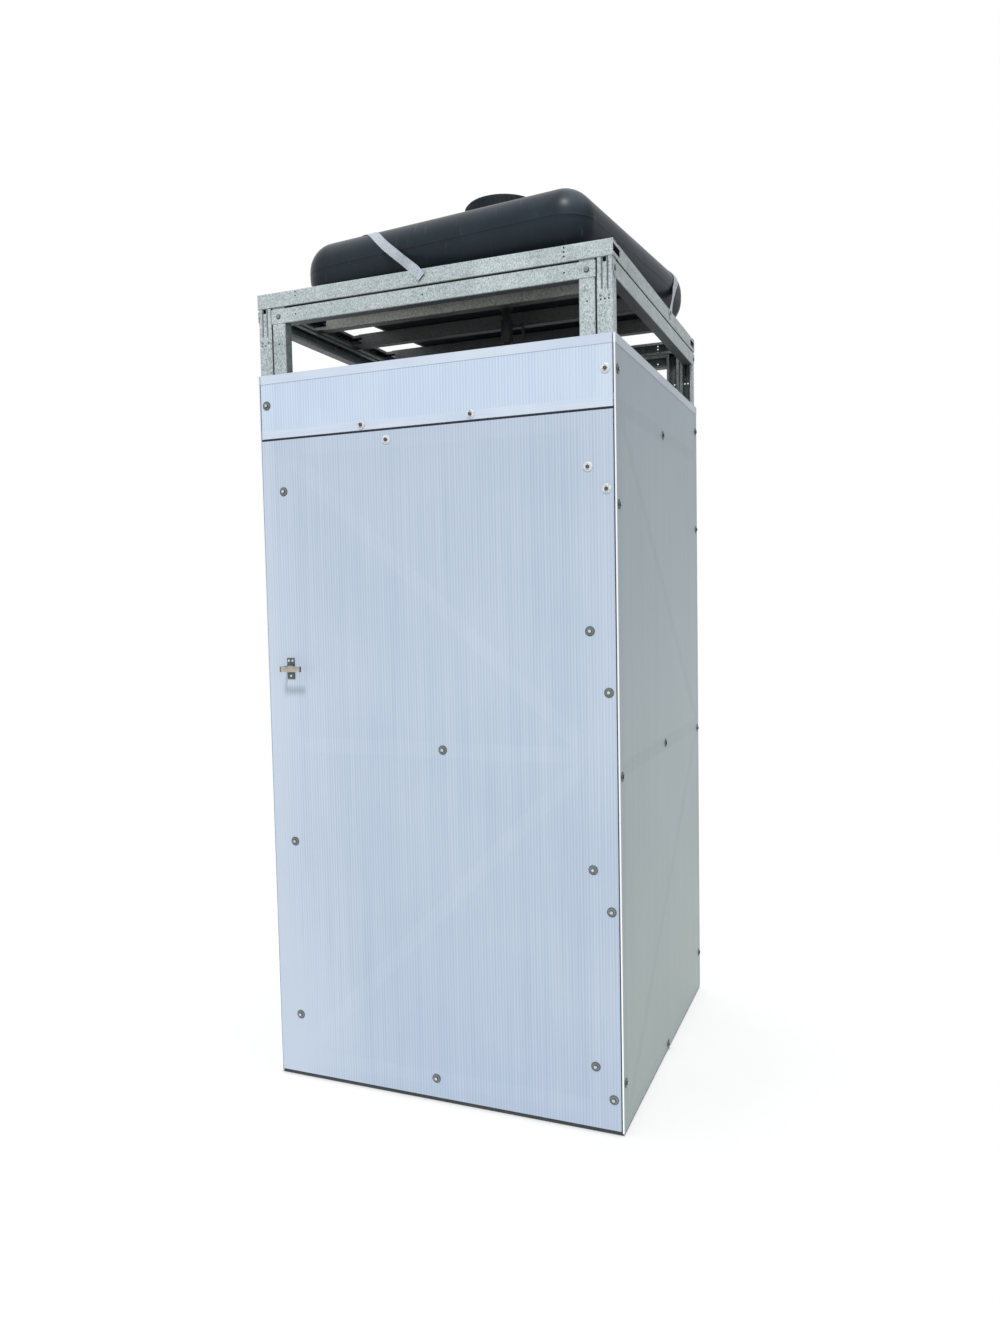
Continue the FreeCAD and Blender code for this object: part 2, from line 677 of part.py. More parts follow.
def build_screws():
    front = -DOOR_Y - SHEET
    fascia = -HALF_D - SHEET
    edge = FACE_X - WEB / 2
    places = [(Vector(s * edge, fascia, SHEET_TOP - FASCIA_SCREW_DOWN), Y * -1) for s in (-1, 1)]
    places += [(Vector(k * HALF_W, fascia - CAP_WALL, HEADER_Z), Y * -1) for k in HEADER_SCREWS]
    places += [(Vector(edge, front, k * DOOR_TOP), Y * -1) for k in FLAP_SCREWS]
    for z in [k * SHEET_TOP for k in WALL_SCREWS]:
        for s in (-1, 1):
            places.append((Vector(s * edge, HALF_D + SHEET, z), Y))
            for side in (-1, 1):
                places.append((Vector(side * (HALF_W + SHEET), s * (FACE_Y - FLANGE / 2), z), X * side))
    for z in (GIRT_Z, MID_Z, BASE_Z):
        places.append((Vector(0, HALF_D + SHEET, z), Y))
        places += [(Vector(side * (HALF_W + SHEET), 0, z), X * side) for side in (-1, 1)]
    save("wall_screws", *[screw(place, outward) for place, outward in places])

    rows = [(-STILE_X, k * DOOR_TOP) for k in LATCH_STILE_SCREWS]
    rows += [(STILE_X, k * DOOR_TOP) for k in HINGE_STILE_SCREWS]
    rows.append((DOOR_TOP_SCREW * HALF_W, DOOR_TOP - WEB / 2))
    rows.append((DOOR_MID_SCREW * HALF_W, DOOR_MID_Z))
    rows.append((DOOR_LOW_SCREW * HALF_W, DOOR_LOW + WEB / 2))
    save("door_screws", *[screw(Vector(x, front, z), Y * -1) for x, z in rows])

    save("frame_bolts", *[bolt(place, outward) for place, outward in bolt_places()])


# Door leaf, hinges and latch

def build_door():
    face = -DOOR_Y
    inner = STILE_X - WEB / 2
    for name, side in (("door_stile_latch", -1), ("door_stile_hinge", 1)):
        stile = plain(Vector(side * STILE_X, face, DOOR_LOW), X, Y, Z * (DOOR_TOP - DOOR_LOW))
        if side < 0:
            stile = stile.cut(spindle_hole())
        save(name, stile)
    levels = {"top": DOOR_TOP - WEB / 2, "mid": DOOR_MID_Z, "bottom": DOOR_LOW + WEB / 2}
    for name, level in levels.items():
        save("door_rail_" + name, plain(Vector(-inner, face, level), Z, Y, X * (2 * inner)))
    edge = inner - BUTT_CLEAR
    braces = []
    cleats = []
    for low_z, high_z, lean in ((levels["mid"], levels["top"], 1), (levels["bottom"], levels["mid"], -1)):
        low = low_z + WEB / 2
        high = high_z - WEB / 2
        foot = low + BUTT_CLEAR
        head = high - BUTT_CLEAR
        braces.append(brace(Vector(lean * edge, face, foot), Vector(-lean * edge, face, head), Y * -1,
                            (-edge, face, foot), (edge, face + FLANGE, head)))
        cleats += [cleat(-lean, low, 1), cleat(lean, high, -1)]
    save("door_braces", *braces)
    save("door_cleats", *cleats)
    span = HALF_W - SHEET_LAP
    leaf = block((-span, face - SHEET, DOOR_SHEET_LOW), (FLAP_X - BUTT_CLEAR, face, DOOR_SHEET_TOP))
    save("door_sheet", leaf.cut(spindle_hole()))
    save("hinge_flap", block((FLAP_X, face - SHEET, DOOR_SHEET_LOW), (span, face, DOOR_SHEET_TOP)))


def build_hinges():
    fixed = []
    moving = []
    pins = []
    third = HINGE_TALL / 3
    clear = KNUCKLE_R + BUTT_CLEAR
    for share in HINGE_SHARES:
        low = share * DOOR_TOP - HINGE_TALL / 2
        pins.append(Part.makeCylinder(HINGE_PIN_R, HINGE_TALL, Vector(HINGE_X, HINGE_Y, low)))
        fixed.append(hinge_leaf(1, low, ((low, low + third), (low + 2 * third, low + HINGE_TALL)), clear))
        inside = (low + third + BUTT_CLEAR, low + 2 * third - BUTT_CLEAR)
        moving.append(hinge_leaf(-1, low, (inside,), clear))
    save("hinge_fixed_leaves", *fixed)
    save("hinge_moving_leaves", *moving)
    save("hinge_pins", *pins)


def hinge_leaf(side, low, knuckles, clear):
    """Hinge leaf against the post (1) or the door stile (-1), rolled round the pin at its knuckles."""
    seat = HINGE_X + side * HINGE_GAP / 2
    back = seat - side * LEAF_WALL
    shape = block((back, HINGE_Y + clear, low), (seat, HINGE_Y + LEAF_DEEP, low + HINGE_TALL))
    pin = Vector(HINGE_X, HINGE_Y, 0)
    for foot, head in knuckles:
        roll = turned([(KNUCKLE_R, foot), (KNUCKLE_R, head)], pin, Z, KNUCKLE_SIDES)
        shape = shape.fuse([roll, block((back, HINGE_Y, foot), (seat, HINGE_Y + clear, head))])
    bore = Part.makeCylinder(HINGE_PIN_R + RUN_CLEAR, HINGE_TALL, Vector(HINGE_X, HINGE_Y, low))
    return shape.cut(bore).removeSplitter()


def spindle_hole():
    """Hole for the latch spindle through the door sheet and the latch stile's web."""
    return Part.makeCylinder(SPINDLE_R + RUN_CLEAR, 2 * FLANGE, Vector(LATCH_X, -DOOR_Y - FLANGE, LATCH_Z), Y)


def build_latch():
    front = -DOOR_Y - SHEET
    wide, tall, wall = LATCH_PLATE
    plate = block((LATCH_X - wide / 2, front - wall, LATCH_Z - tall / 2),
                  (LATCH_X + wide / 2, front, LATCH_Z + tall / 2))
    save("latch_plate", plate.cut(spindle_hole()))

    back = FLANGE + TONGUE_CLEAR + STEEL - DOOR_Y
    seat = front - wall - BUTT_CLEAR
    spindle = Part.makeCylinder(SPINDLE_R, back + TONGUE_WALL - seat, Vector(LATCH_X, seat, LATCH_Z), Y)
    path = [(2 * SPINDLE_R, 0.0), (-LATCH_HEEL, 0.0), (-LATCH_HEEL, LATCH_REACH), (LATCH_TIP, LATCH_REACH)]
    corner = Vector(LATCH_X, seat, LATCH_Z - LATCH_STRIP_TALL / 2)
    strip = prism(thicken(path, -LATCH_STRIP), corner, X, Y * -1, Z * LATCH_STRIP_TALL)
    save("latch_lever", strip.fuse(spindle).removeSplitter())

    tongue = block((LATCH_X - TONGUE_WIDE / 2, back, LATCH_Z - TONGUE_WIDE / 2),
                   (LATCH_X + TONGUE_WIDE / 2, back + TONGUE_WALL, LATCH_Z + TONGUE_LONG))
    tip = [e for e in through_edges(tongue, Y) if e.BoundBox.ZMin > LATCH_Z]
    tongue = tongue.makeChamfer(TONGUE_WIDE / 4, tip)
    save("latch_tongue", tongue.cut(spindle))


# Tank, lid, straps, outlet, valve and rose

def build_tank():
    save("water_tank", tank())
    save("tank_lid", lid())
    front = strap(middle=TANK_MIDDLE, **FRONT_STRAP)
    rear = strap(middle=TANK_MIDDLE * -1, **REAR_STRAP)
    rear.rotate(Vector(0, 0, 0), Z, 180)
    save("tank_straps", drilled(front), drilled(rear))


def lid():
    """Cupped lid in grip flats, with a bevelled top, over the filler neck."""
    inside = NECK_R + LIFT_CLEAR
    under = NECK_TOP + BUTT_CLEAR
    top = under + LID_WALL
    foot = top - LID_TALL
    shoulder = 2 * LID_WALL
    skin = [(LID_R, foot), (LID_R, top - shoulder), (LID_R - shoulder, top)]
    hollow = [(inside, foot), (inside, under)]
    return turned(skin, TANK_MIDDLE, Z, LID_SIDES).cut(turned(hollow, TANK_MIDDLE, Z, LID_SIDES))


def build_outlet():
    axis = Vector(OUTLET_X, OUTLET_Y, 0)
    pipe_low = HEIGHT - OUTLET_LONG
    floor = HEIGHT + TANK_WALL
    rim = floor + OUTLET_FLANGE_TALL
    flange = turned([(OUTLET_FLANGE_R, floor), (OUTLET_FLANGE_R, rim)], axis, Z, ROUND_SIDES)
    pipe = turned([(OUTLET_R, pipe_low), (OUTLET_R, floor)], axis, Z, ROUND_SIDES)
    bore = turned([(OUTLET_BORE_R, pipe_low), (OUTLET_BORE_R, rim)], axis, Z, ROUND_SIDES)
    save("tank_outlet", flange.fuse(pipe).cut(bore).removeSplitter())

    gasket_low = HEIGHT - GASKET_TALL
    nut_low = gasket_low - NUT_TALL
    gasket = turned([(OUTLET_FLANGE_R, gasket_low), (OUTLET_FLANGE_R, HEIGHT)], axis, Z, ROUND_SIDES)
    loose = OUTLET_R + BUTT_CLEAR
    save("outlet_gasket", gasket.cut(turned([(loose, gasket_low), (loose, HEIGHT)], axis, Z, ROUND_SIDES)))
    snug = OUTLET_R + RUN_CLEAR
    nut = turned([(NUT_R, nut_low), (NUT_R, gasket_low)], axis, Z, HEX_SIDES)
    save("outlet_nut", nut.cut(turned([(snug, nut_low), (snug, gasket_low)], axis, Z, ROUND_SIDES)))

    valve_top = pipe_low + VALVE_SEAT
    valve_low = valve_top - VALVE_TALL
    bore_r = NECK_PIPE_R - LEAF_WALL
    body = turned([(VALVE_R, valve_low), (VALVE_R, valve_top)], axis, Z, VALVE_SIDES)
    body = body.cut(turned([(snug, pipe_low), (snug, valve_top)], axis, Z, ROUND_SIDES))
    body = body.cut(turned([(bore_r, valve_low), (bore_r, pipe_low)], axis, Z, ROUND_SIDES))
    stem_end = Vector(OUTLET_X + VALVE_R - STEM_DEEP, OUTLET_Y, pipe_low - STEM_R - 2 * BUTT_CLEAR)
    save("valve_body", body.cut(Part.makeCylinder(STEM_R + RUN_CLEAR, VALVE_R, stem_end, X)))

    stem = Part.makeCylinder(STEM_R, STEM_DEEP + LEVER_OFF - VALVE_R + LEVER_WALL, stem_end, X)
    grip_x = OUTLET_X + LEVER_OFF
    grip = block((grip_x, OUTLET_Y - LEVER_WIDE / 2, stem_end.z + LEVER_WIDE / 2),
                 (grip_x + LEVER_WALL, OUTLET_Y + LEVER_WIDE / 2, stem_end.z - LEVER_LONG))
    grip = grip.makeChamfer(LEVER_WIDE / 4, through_edges(grip, X))
    save("valve_lever", stem.fuse(grip).removeSplitter())

    neck_low = valve_low - NECK_PIPE_LONG
    rose_low = neck_low - ROSE_TALL
    brim = rose_low + ROSE_RIM
    skin = [(NECK_PIPE_R, valve_low), (NECK_PIPE_R, neck_low), (ROSE_R, brim), (ROSE_R, rose_low)]
    shell = turned(skin, axis, Z, ROUND_SIDES)
    wide = ROSE_R - LEAF_WALL
    hollow = [(bore_r, valve_low), (bore_r, neck_low), (wide, brim - LEAF_WALL), (wide, rose_low + LEAF_WALL)]
    save("shower_rose", shell.cut(turned(hollow, axis, Z, ROUND_SIDES)))


os.makedirs("parts", exist_ok=True)
build_frame()
build_sheets()
build_screws()
build_door()
build_hinges()
build_latch()
build_tank()
build_outlet()
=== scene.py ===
import json
from math import cos, pi, radians, sin

import bmesh
import bpy
from mathutils import Matrix, Vector

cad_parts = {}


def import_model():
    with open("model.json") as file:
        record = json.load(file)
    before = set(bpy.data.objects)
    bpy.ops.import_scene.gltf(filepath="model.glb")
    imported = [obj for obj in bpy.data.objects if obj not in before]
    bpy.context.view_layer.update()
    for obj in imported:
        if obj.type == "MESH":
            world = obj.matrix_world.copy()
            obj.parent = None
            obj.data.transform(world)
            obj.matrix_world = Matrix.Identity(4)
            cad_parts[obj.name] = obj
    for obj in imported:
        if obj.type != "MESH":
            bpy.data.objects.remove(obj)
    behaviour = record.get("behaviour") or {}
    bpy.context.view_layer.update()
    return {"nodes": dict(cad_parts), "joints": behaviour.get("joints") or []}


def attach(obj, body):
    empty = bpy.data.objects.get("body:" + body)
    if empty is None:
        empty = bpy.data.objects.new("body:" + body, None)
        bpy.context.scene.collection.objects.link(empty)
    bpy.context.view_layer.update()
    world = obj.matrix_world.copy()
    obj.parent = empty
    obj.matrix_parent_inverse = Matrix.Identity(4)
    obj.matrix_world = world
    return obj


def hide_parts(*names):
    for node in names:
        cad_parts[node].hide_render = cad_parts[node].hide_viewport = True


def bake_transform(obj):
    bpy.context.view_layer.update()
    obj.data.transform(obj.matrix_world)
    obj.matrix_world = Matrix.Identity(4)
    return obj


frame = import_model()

NODES = frame["nodes"]
JOINTS = {joint["name"]: joint for joint in frame["joints"]}

# Decimals of a metre that tell two points of a CAD node apart
DECIMALS = 5


# Measures of the CAD nodes, in metres

def spots(node, axis):
    """All coordinates of a node along x, y or z."""
    return [round(v.co["xyz".index(axis)], DECIMALS) for v in NODES[node].data.vertices]


def least(node, axis):
    return min(spots(node, axis))


def most(node, axis):
    return max(spots(node, axis))


def midway(node, axis):
    return (least(node, axis) + most(node, axis)) / 2


# Sheets and door; the drawn door sheet is a little wider and lower than the solid
FLUTE = 0.008
FRONT_Y = least("ring_front", "y")
FASCIA_LOW = least("fascia_sheet", "z")
SHEET = most("door_sheet", "y") - least("door_sheet", "y")
DOOR_FACE = most("door_sheet", "y")
DOOR_EASE = 0.002
DOOR_X = (least("door_sheet", "x") - DOOR_EASE, most("hinge_flap", "x"))
DOOR_Z = (least("door_sheet", "z"), most("door_sheet", "z") - DOOR_EASE)
BEND_RUN = 0.021
BEND_X = (least("hinge_flap", "x") + BEND_RUN, most("door_sheet", "x"))
BEND_STEPS = 16
GRID_X = [-0.38 + 0.04 * k for k in range(21)]
GRID_Z = [0.05 + 0.1 * k for k in range(18)]
METRES = "metres"

# Latch
LATCH_AT = JOINTS["latch_turn"]["pos_m"]
LATCH_X = LATCH_AT[0]
LATCH_Z = LATCH_AT[2]
LATCH_HOLE = 0.007
LATCH_FACE = least("latch_plate", "y")
LATCH_SCREW_X = 0.006
LATCH_SCREW_Z = 0.021

# Steel behind the sheets, whose painted light and shade show on them
WEB_HALF = (most("top_rail_front", "z") - least("top_rail_front", "z")) / 2
SIDE_BAND_HALF = 0.018
POST_X = midway("post_rear_right", "x")
POST_Y = midway("post_rear_right", "y")
POST_TOP = most("post_rear_right", "z")
STILE_X = midway("door_stile_hinge", "x")
DOOR_RAILS = [midway(name, "z") for name in ("door_rail_bottom", "door_rail_mid", "door_rail_top")]
WALL_RAILS = [midway(name, "z") for name in ("bottom_rail_rear", "mid_rail_rear", "girt_rear")]
UPRIGHT_TOP = 2.0

# Marks pressed into the posts, measured from the middle of their webs and from their tops
GROOVE_AT = 0.0072
GROOVE_Z = POST_TOP - 0.074
DIMPLE_AT = 0.010
DIMPLE_Z = POST_TOP - 0.090
SEAM_Z = most("top_rail_front", "z")

# Tank
TANK_AT = (midway("tank_lid", "x"), midway("tank_lid", "y"), 0.0)
TANK_TURN = radians(-6.2)
TANK_HALF = (0.438, 0.422)
TANK_LOW = least("water_tank", "z")
TANK_TOP = TANK_LOW + 0.185
TANK_ROUND = 0.084
TANK_STEPS = 12
TANK_LEAST_ROUND = 0.0008
TANK_TOP_EDGE = 0.006
TANK_TOP_RISE = 0.0004
PARTING_Z = TANK_LOW + 0.096
PARTING_OUT = 0.0004
PARTING_LAND = 0.001
PARTING_FOOT = 0.003
CROWN_R = 0.208
CROWN_SKIRT = 0.012
CROWN_EASE = 0.002
CROWN_TOP = TANK_TOP + 0.045
NECK_R = 0.094
NECK_WALL = 0.0045
NECK_TOP = most("water_tank", "z")
NECK_FLOOR = TANK_TOP + 0.003
NECK_SIDES = 72

# Where the crown turns up into the neck, as (outward from the neck, up from the crown's top)
NECK_BLEND = ((0.014, -0.005), (0.004, -0.001), (0.0, 0.005))

# Lid: its band and crown as (inset from its radius, up from its foot or from its top)
LID_R = (most("tank_lid", "x") - least("tank_lid", "x")) / 2
LID_FOOT = least("tank_lid", "z")
LID_TOP = most("tank_lid", "z")
LID_BORE = NECK_R + 0.0025
LID_CEILING = NECK_TOP + 0.0005
LID_BAND = ((0.001, 0.0), (0.0, 0.001), (0.0, 0.006))
LID_CROWN = ((0.002, -0.006), (0.008, 0.0), (0.020, 0.0),
             (0.022, -0.003), (0.060, -0.003), (0.062, -0.0005))
GRIP_INSET = 0.0015
GRIP_Z = (LID_FOOT + 0.007, LID_TOP - 0.008)
RIBS = 48
RIB_STEPS = 4
RIB_OUT = 0.0009

# Straps: where they cross the ring's top edge, and the points that lead them over the tank
RING_TOP = most("ring_front", "z")
STRAP_HALF = 0.0125
STRAP_WALL = 0.0010
STRAP_CLEAR = 0.0006
STRAP_FACE = most("ring_rear", "y") + 0.0008
STRAP_STEP = 0.009
STRAP_ROUNDS = 12
TAIL_SIDE = 0.0212
TAIL_DOWN = 0.0218
TAIL_LIFT = 0.0027
TAIL_STEPS = 3
TWIST_STEPS = 10
FRONT_STRAP_X = -0.020
LEFT_STRAP_Y = -0.090
RIGHT_STRAP_Y = 0.139
REAR_STRAP_X = 0.170
FRONT_STRAP_OVER = ((-0.235, -0.333, TANK_TOP - 0.0085), (-0.330, -0.246, TANK_TOP + 0.001),
                    (-0.420, -0.163, TANK_TOP - 0.020))
REAR_STRAP_OVER = ((0.482, 0.300, TANK_TOP - 0.035), (0.395, 0.335, TANK_TOP + 0.001),
                   (0.300, 0.385, TANK_TOP - 0.020))

# Fasteners: outlines as (radius, height) from the face that they stand on
RIM = [(0.0118, 0.0), (0.0121, 0.0003), (0.0121, 0.0010), (0.0102, 0.0016)]
WASHER = [(0.0102, 0.0016), (0.0070, 0.0019), (0.0048, 0.0020)]
HEX_HEAD = [(0.0050, 0.0018), (0.0050, 0.0049), (0.0043, 0.0053)]
HEX_TOP = [(0.0043, 0.0053), (0.0030, 0.0054)]
SCREW_SHANK = [(0.0024, -0.016), (0.0024, 0.0)]
DOME_RIM = [(0.0070, 0.0), (0.0070, 0.0006), (0.0066, 0.0015), (0.0050, 0.0027)]
DOME = [(0.0050, 0.0027), (0.0036, 0.0032), (0.0012, 0.0034)]
BOLT_SHANK = [(0.003, -0.014), (0.003, 0.0)]
PAN_HEAD = [(0.0034, 0.0), (0.0034, 0.0010), (0.0028, 0.0018), (0.0014, 0.0021)]
WASHER_SIDES = 24
HEX_SIDES = 6
SHANK_SIDES = 8
DOME_SIDES = 20
PAN_SIDES = 14
SCREW_TURN = 1.9

# Washers of the upper front carry a painted bright reflection, and the others are a painted shaded copy of
# the same zinc
SKY_LIT_X = -0.43
SKY_LIT_Z = 1.55


# Mesh making

class Shape:
    """Collects points and faces of one mesh, each face with a material number."""

    def __init__(self):
        self.points = []
        self.faces = []
        self.kinds = []

    def add(self, points):
        start = len(self.points)
        self.points += [Vector(p) for p in points]
        return list(range(start, len(self.points)))

    def face(self, corners, kind=0):
        self.faces.append(corners)
        self.kinds.append(kind)

    def bridge(self, low, high, kind=0):
        """Quads between two closed rings of equal length."""
        for k in range(len(low)):
            self.face([low[k - 1], low[k], high[k], high[k - 1]], kind)

    def tube(self, rings, kind=0, close_low=True, close_high=True):
        """Skin over a row of rings, with its ends closed or left open."""
        for low, high in zip(rings, rings[1:]):
            self.bridge(low, high, kind)
        if close_low:
            self.face(list(reversed(rings[0])), kind)
        if close_high:
            self.face(rings[-1], kind)

    def turn(self, profile, sides, place, kind=0, close_low=False, close_high=True):
        """Ring by ring round a local z axis; the profile lists (radius, height)."""
        rings = [self.add([place @ p for p in circle(radius, height, sides)]) for radius, height in profile]
        self.tube(rings, kind, close_low, close_high)

    def build(self, name, materials, sharp=35.0):
        mesh = bpy.data.meshes.new(name)
        mesh.from_pydata(self.points, [], self.faces)
        for material in materials:
            mesh.materials.append(material)
        mesh.polygons.foreach_set("material_index", self.kinds)
        mesh.update()
        work = bmesh.new()
        work.from_mesh(mesh)
        bmesh.ops.recalc_face_normals(work, faces=work.faces)
        work.to_mesh(mesh)
        work.free()
        mesh.shade_smooth()
        mesh.set_sharp_from_angle(angle=radians(sharp))
        made = bpy.data.objects.new(name, mesh)
        bpy.context.scene.collection.objects.link(made)
        return made


def circle(radius, height, sides):
    """Points of a level circle round the z axis."""
    turns = [2 * pi * k / sides for k in range(sides)]
    return [Vector((radius * cos(t), radius * sin(t), height)) for t in turns]


def islands(node):
    """Low and high corners of each separate solid in a CAD node."""
    mesh = NODES[node].data
    spot = [tuple(round(c, DECIMALS) for c in v.co) for v in mesh.vertices]
    places = {}
    for point in spot:
        places.setdefault(point, len(places))
    parent = list(range(len(places)))

    def root(k):
        while parent[k] != k:
            parent[k] = parent[parent[k]]
            k = parent[k]
        return k

    for e in mesh.edges:
        start, end = [places[spot[k]] for k in e.vertices]
        parent[root(start)] = root(end)
    groups = {}
    for place, k in places.items():
        groups.setdefault(root(k), []).append(Vector(place))
    boxes = []
    for points in groups.values():
        low = Vector([min(p[i] for p in points) for i in range(3)])
        high = Vector([max(p[i] for p in points) for i in range(3)])
        boxes.append((low, high))
    return sorted(boxes, key=lambda b: tuple(b[0]))


def facing(low, high, reach):
    """Frame of a fastener's outer end: local z points out of the wall that its head stands on."""
    sides = [(high.x, Vector((1, 0, 0))), (-low.x, Vector((-1, 0, 0))),
             (high.y, Vector((0, 1, 0))), (-low.y, Vector((0, -1, 0)))]
    far, outward = max(sides, key=lambda s: s[0])
    middle = (low + high) / 2
    seat = middle - outward * middle.dot(outward) + outward * (far - reach)
    across = Vector((0, 0, 1)).cross(outward)
    turn = Matrix((across, Vector((0, 0, 1)), outward)).transposed()
    return Matrix.Translation(seat) @ turn.to_4x4()


# Materials

NOISE = (0.3, 0.7)
SATIN = (0.30, 0.42)
FINER = 9


class Net:
    """One material and its nodes."""

    def __init__(self, name):
        self.material = bpy.data.materials.new(name)
        self.material.use_nodes = True
        self.tree = self.material.node_tree
        self.shader = self.tree.nodes["Principled BSDF"]

    def node(self, kind, inputs=None, **settings):
        made = self.tree.nodes.new(kind)
        for key, value in settings.items():
            setattr(made, key, value)
        for key, value in (inputs or {}).items():
            self.put(made, key, value)
        return made

    def put(self, node, key, value):
        if isinstance(value, bpy.types.NodeSocket):
            self.tree.links.new(value, node.inputs[key])
        else:
            node.inputs[key].default_value = value

    def set(self, **values):
        for key, value in values.items():
            self.put(self.shader, key.replace("_", " "), value)

    def math(self, operation, a, b=0.0):
        return self.node("ShaderNodeMath", {0: a, 1: b}, operation=operation).outputs[0]

    def plus(self, a, b):
        return self.math("ADD", a, b)

    def times(self, a, b):
        return self.math("MULTIPLY", a, b)

    def larger(self, a, b):
        return self.math("MAXIMUM", a, b)

    def above(self, a, level):
        return self.math("GREATER_THAN", a, level)

    def away(self, a, b=0.0):
        """Distance between two numbers."""
        return self.math("ABSOLUTE", self.math("SUBTRACT", a, b))

    def length(self, vector):
        return self.node("ShaderNodeVectorMath", {0: vector}, operation="LENGTH").outputs["Value"]

    def place(self):
        """Point in the object's own frame, and its three numbers."""
        point = self.node("ShaderNodeTexCoord").outputs["Object"]
        split = self.node("ShaderNodeSeparateXYZ", {0: point})
        return point, split.outputs[0], split.outputs[1], split.outputs[2]

    def normal(self, kind="Normal"):
        """The three numbers of the way that the surface faces."""
        way = self.node("ShaderNodeNewGeometry").outputs[kind]
        return self.node("ShaderNodeSeparateXYZ", {0: way}).outputs

    def vector(self, x, y, z=0.0):
        return self.node("ShaderNodeCombineXYZ", {0: x, 1: y, 2: z}).outputs[0]

    def stretch(self, *pairs):
        """Vector of two or three numbers, each times its own factor."""
        return self.vector(*[self.times(value, factor) for value, factor in pairs])

    def noise(self, vector, scale=1.0, detail=3.0, rough=0.5):
        inputs = {"Vector": vector, "Scale": scale, "Detail": detail, "Roughness": rough}
        return self.node("ShaderNodeTexNoise", inputs).outputs[0]

    def ramp(self, value, low, high, to_low=0.0, to_high=1.0):
        inputs = {0: value, 1: low, 2: high, 3: to_low, 4: to_high}
        return self.node("ShaderNodeMapRange", inputs).outputs[0]

    def spread(self, noise, to_low=0.0, to_high=1.0):
        """The middle range of a noise, spread between two numbers."""
        return self.ramp(noise, *NOISE, to_low, to_high)

    def sway(self, noise, reach):
        return self.spread(noise, -reach, reach)

    def mix(self, share, a, b, way="MIX"):
        made = self.node("ShaderNodeMix", data_type="RGBA", blend_type=way)
        for key, value in ((0, share), (6, a), (7, b)):
            self.put(made, key, value)
        return made.outputs[2]

    def bump(self, height, strength, distance):
        inputs = {"Height": height, "Strength": strength, "Distance": distance}
        self.set(Normal=self.node("ShaderNodeBump", inputs).outputs[0])


def colour(red, green, blue):
    """Colour given as it looks on a screen, 0 to 255."""
    def straight(c):
        c = c / 255
        return c / 12.92 if c < 0.04045 else ((c + 0.055) / 1.055) ** 2.4
    return (straight(red), straight(green), straight(blue), 1.0)


# Cellular sheet: colours, and tints of its foot and of its top; the right side's darker colours are painted
# shade, its foot tint a painted reflection and its top tint painted shade

FASCIA_TONES = (colour(181, 200, 223), colour(212, 224, 240))
DOOR_TONES = (colour(166, 183, 204), colour(195, 207, 222))
# Painted shade: the right side's darker copy of the sheet colours
SHADED_SIDE_TONES = (colour(136, 151, 157), colour(159, 173, 178))
# Painted shade inside the open cells at the sheets' ends
OPEN_CELL_SHADE = colour(92, 101, 112)
CUT_SIDE = colour(240, 244, 248)
NO_TINT = (1.0, 1.0, 1.0, 1.0)
FRONT_LOW = (0.83, 0.84, 0.85, 1.0)
# Painted reflection of the ground at the foot of the right side
SIDE_LOW = (0.90, 0.90, 0.80, 1.0)
# Painted shade at the top of the right side
SIDE_HIGH = (0.80, 0.82, 0.88, 1.0)
LOW_TINT_Z = (1.1, 0.0)
HIGH_TINT_Z = (1.0, 1.9)
TONE_RANGE = (-0.12, 0.12)

# Streaks along the flutes, as noise cells per metre across and along, and how strongly each shows
STREAK = (210.0, 1.6)
STREAK_SHOWS = 0.035
BROAD_STREAK = (26.0, 0.5)
BROAD_SHOWS = 0.02
CLOUD = 2.3
CLOUD_SHOWS = 0.03
FLUTE_SHOWS = 0.055
# Painted light of the steel behind the sheets; behind the right side it is painted shade
STEEL_LIGHT_SHOWS = 0.018
SIDE_STEEL_SHADE_SHOWS = -0.05

# Painted light makes the door's free edge and its lower left corner paler
GLOW_X = (-0.20, -0.478)
GLOW_Z = (1.7, 0.1)
GLOW = 0.14
EDGE_GLOW_X = (-0.430, -0.478)
EDGE_GLOW = 0.05

# Soft edges of the members behind a sheet
BAND_IN = 0.003
BAND_OUT = 0.004

# Gloss, the least part of a normal that makes a face an end, and the flutes' wave at an open cell
FRONT_GLOSS = 0.4
WALL_GLOSS = 0.25
END_FACE = 0.7
CELL_OPEN = 0.3


def band(net, flat, start, end, half):
    """Soft mask of a straight member behind a sheet, from one point to another."""
    run = Vector(end) - Vector(start)
    along = run.normalized()
    middle = (Vector(start) + Vector(end)) / 2
    masks = []
    for direction, reach in ((along, run.length / 2), (Vector((-along.y, along.x)), half)):
        inputs = {0: flat, 1: (direction.x, direction.y, 0)}
        dot = net.node("ShaderNodeVectorMath", inputs, operation="DOT_PRODUCT").outputs["Value"]
        off = net.away(dot, middle.dot(direction))
        masks.append(net.ramp(off, reach - BAND_IN, reach + BAND_OUT, 1.0, 0.0))
    return net.times(*masks)


def cross_members(edge, half, rails):
    """Outlines of the posts, rails and diagonals behind one wall, as (start, end, half width)."""
    inner = edge - half
    low, mid, top = rails
    members = [((s * edge, 0.0), (s * edge, UPRIGHT_TOP), half) for s in (-1, 1)]
    members += [((-edge, z), (edge, z), half) for z in rails]
    members.append(((-inner, low + half), (inner, mid - half), half))
    members.append(((inner, mid + half), (-inner, top - half), half))
    return members


def sheet_place(net, across):
    """Numbers across and along the flutes; the door sheet takes them from its map."""
    if across == "UV":
        point = net.node("ShaderNodeUVMap", uv_map=METRES).outputs[0]
        split = net.node("ShaderNodeSeparateXYZ", {0: point}).outputs
        return split[0], split[1]
    x, y, z = net.place()[1:]
    return (x if across == "X" else y), z


def door_glow(net, u, v):
    """Extra light of the door's free edge and of its lower left corner."""
    corner = net.times(net.ramp(u, *GLOW_X), net.ramp(v, *GLOW_Z, 0.0, GLOW))
    return net.plus(corner, net.ramp(u, *EDGE_GLOW_X, 0.0, EDGE_GLOW))


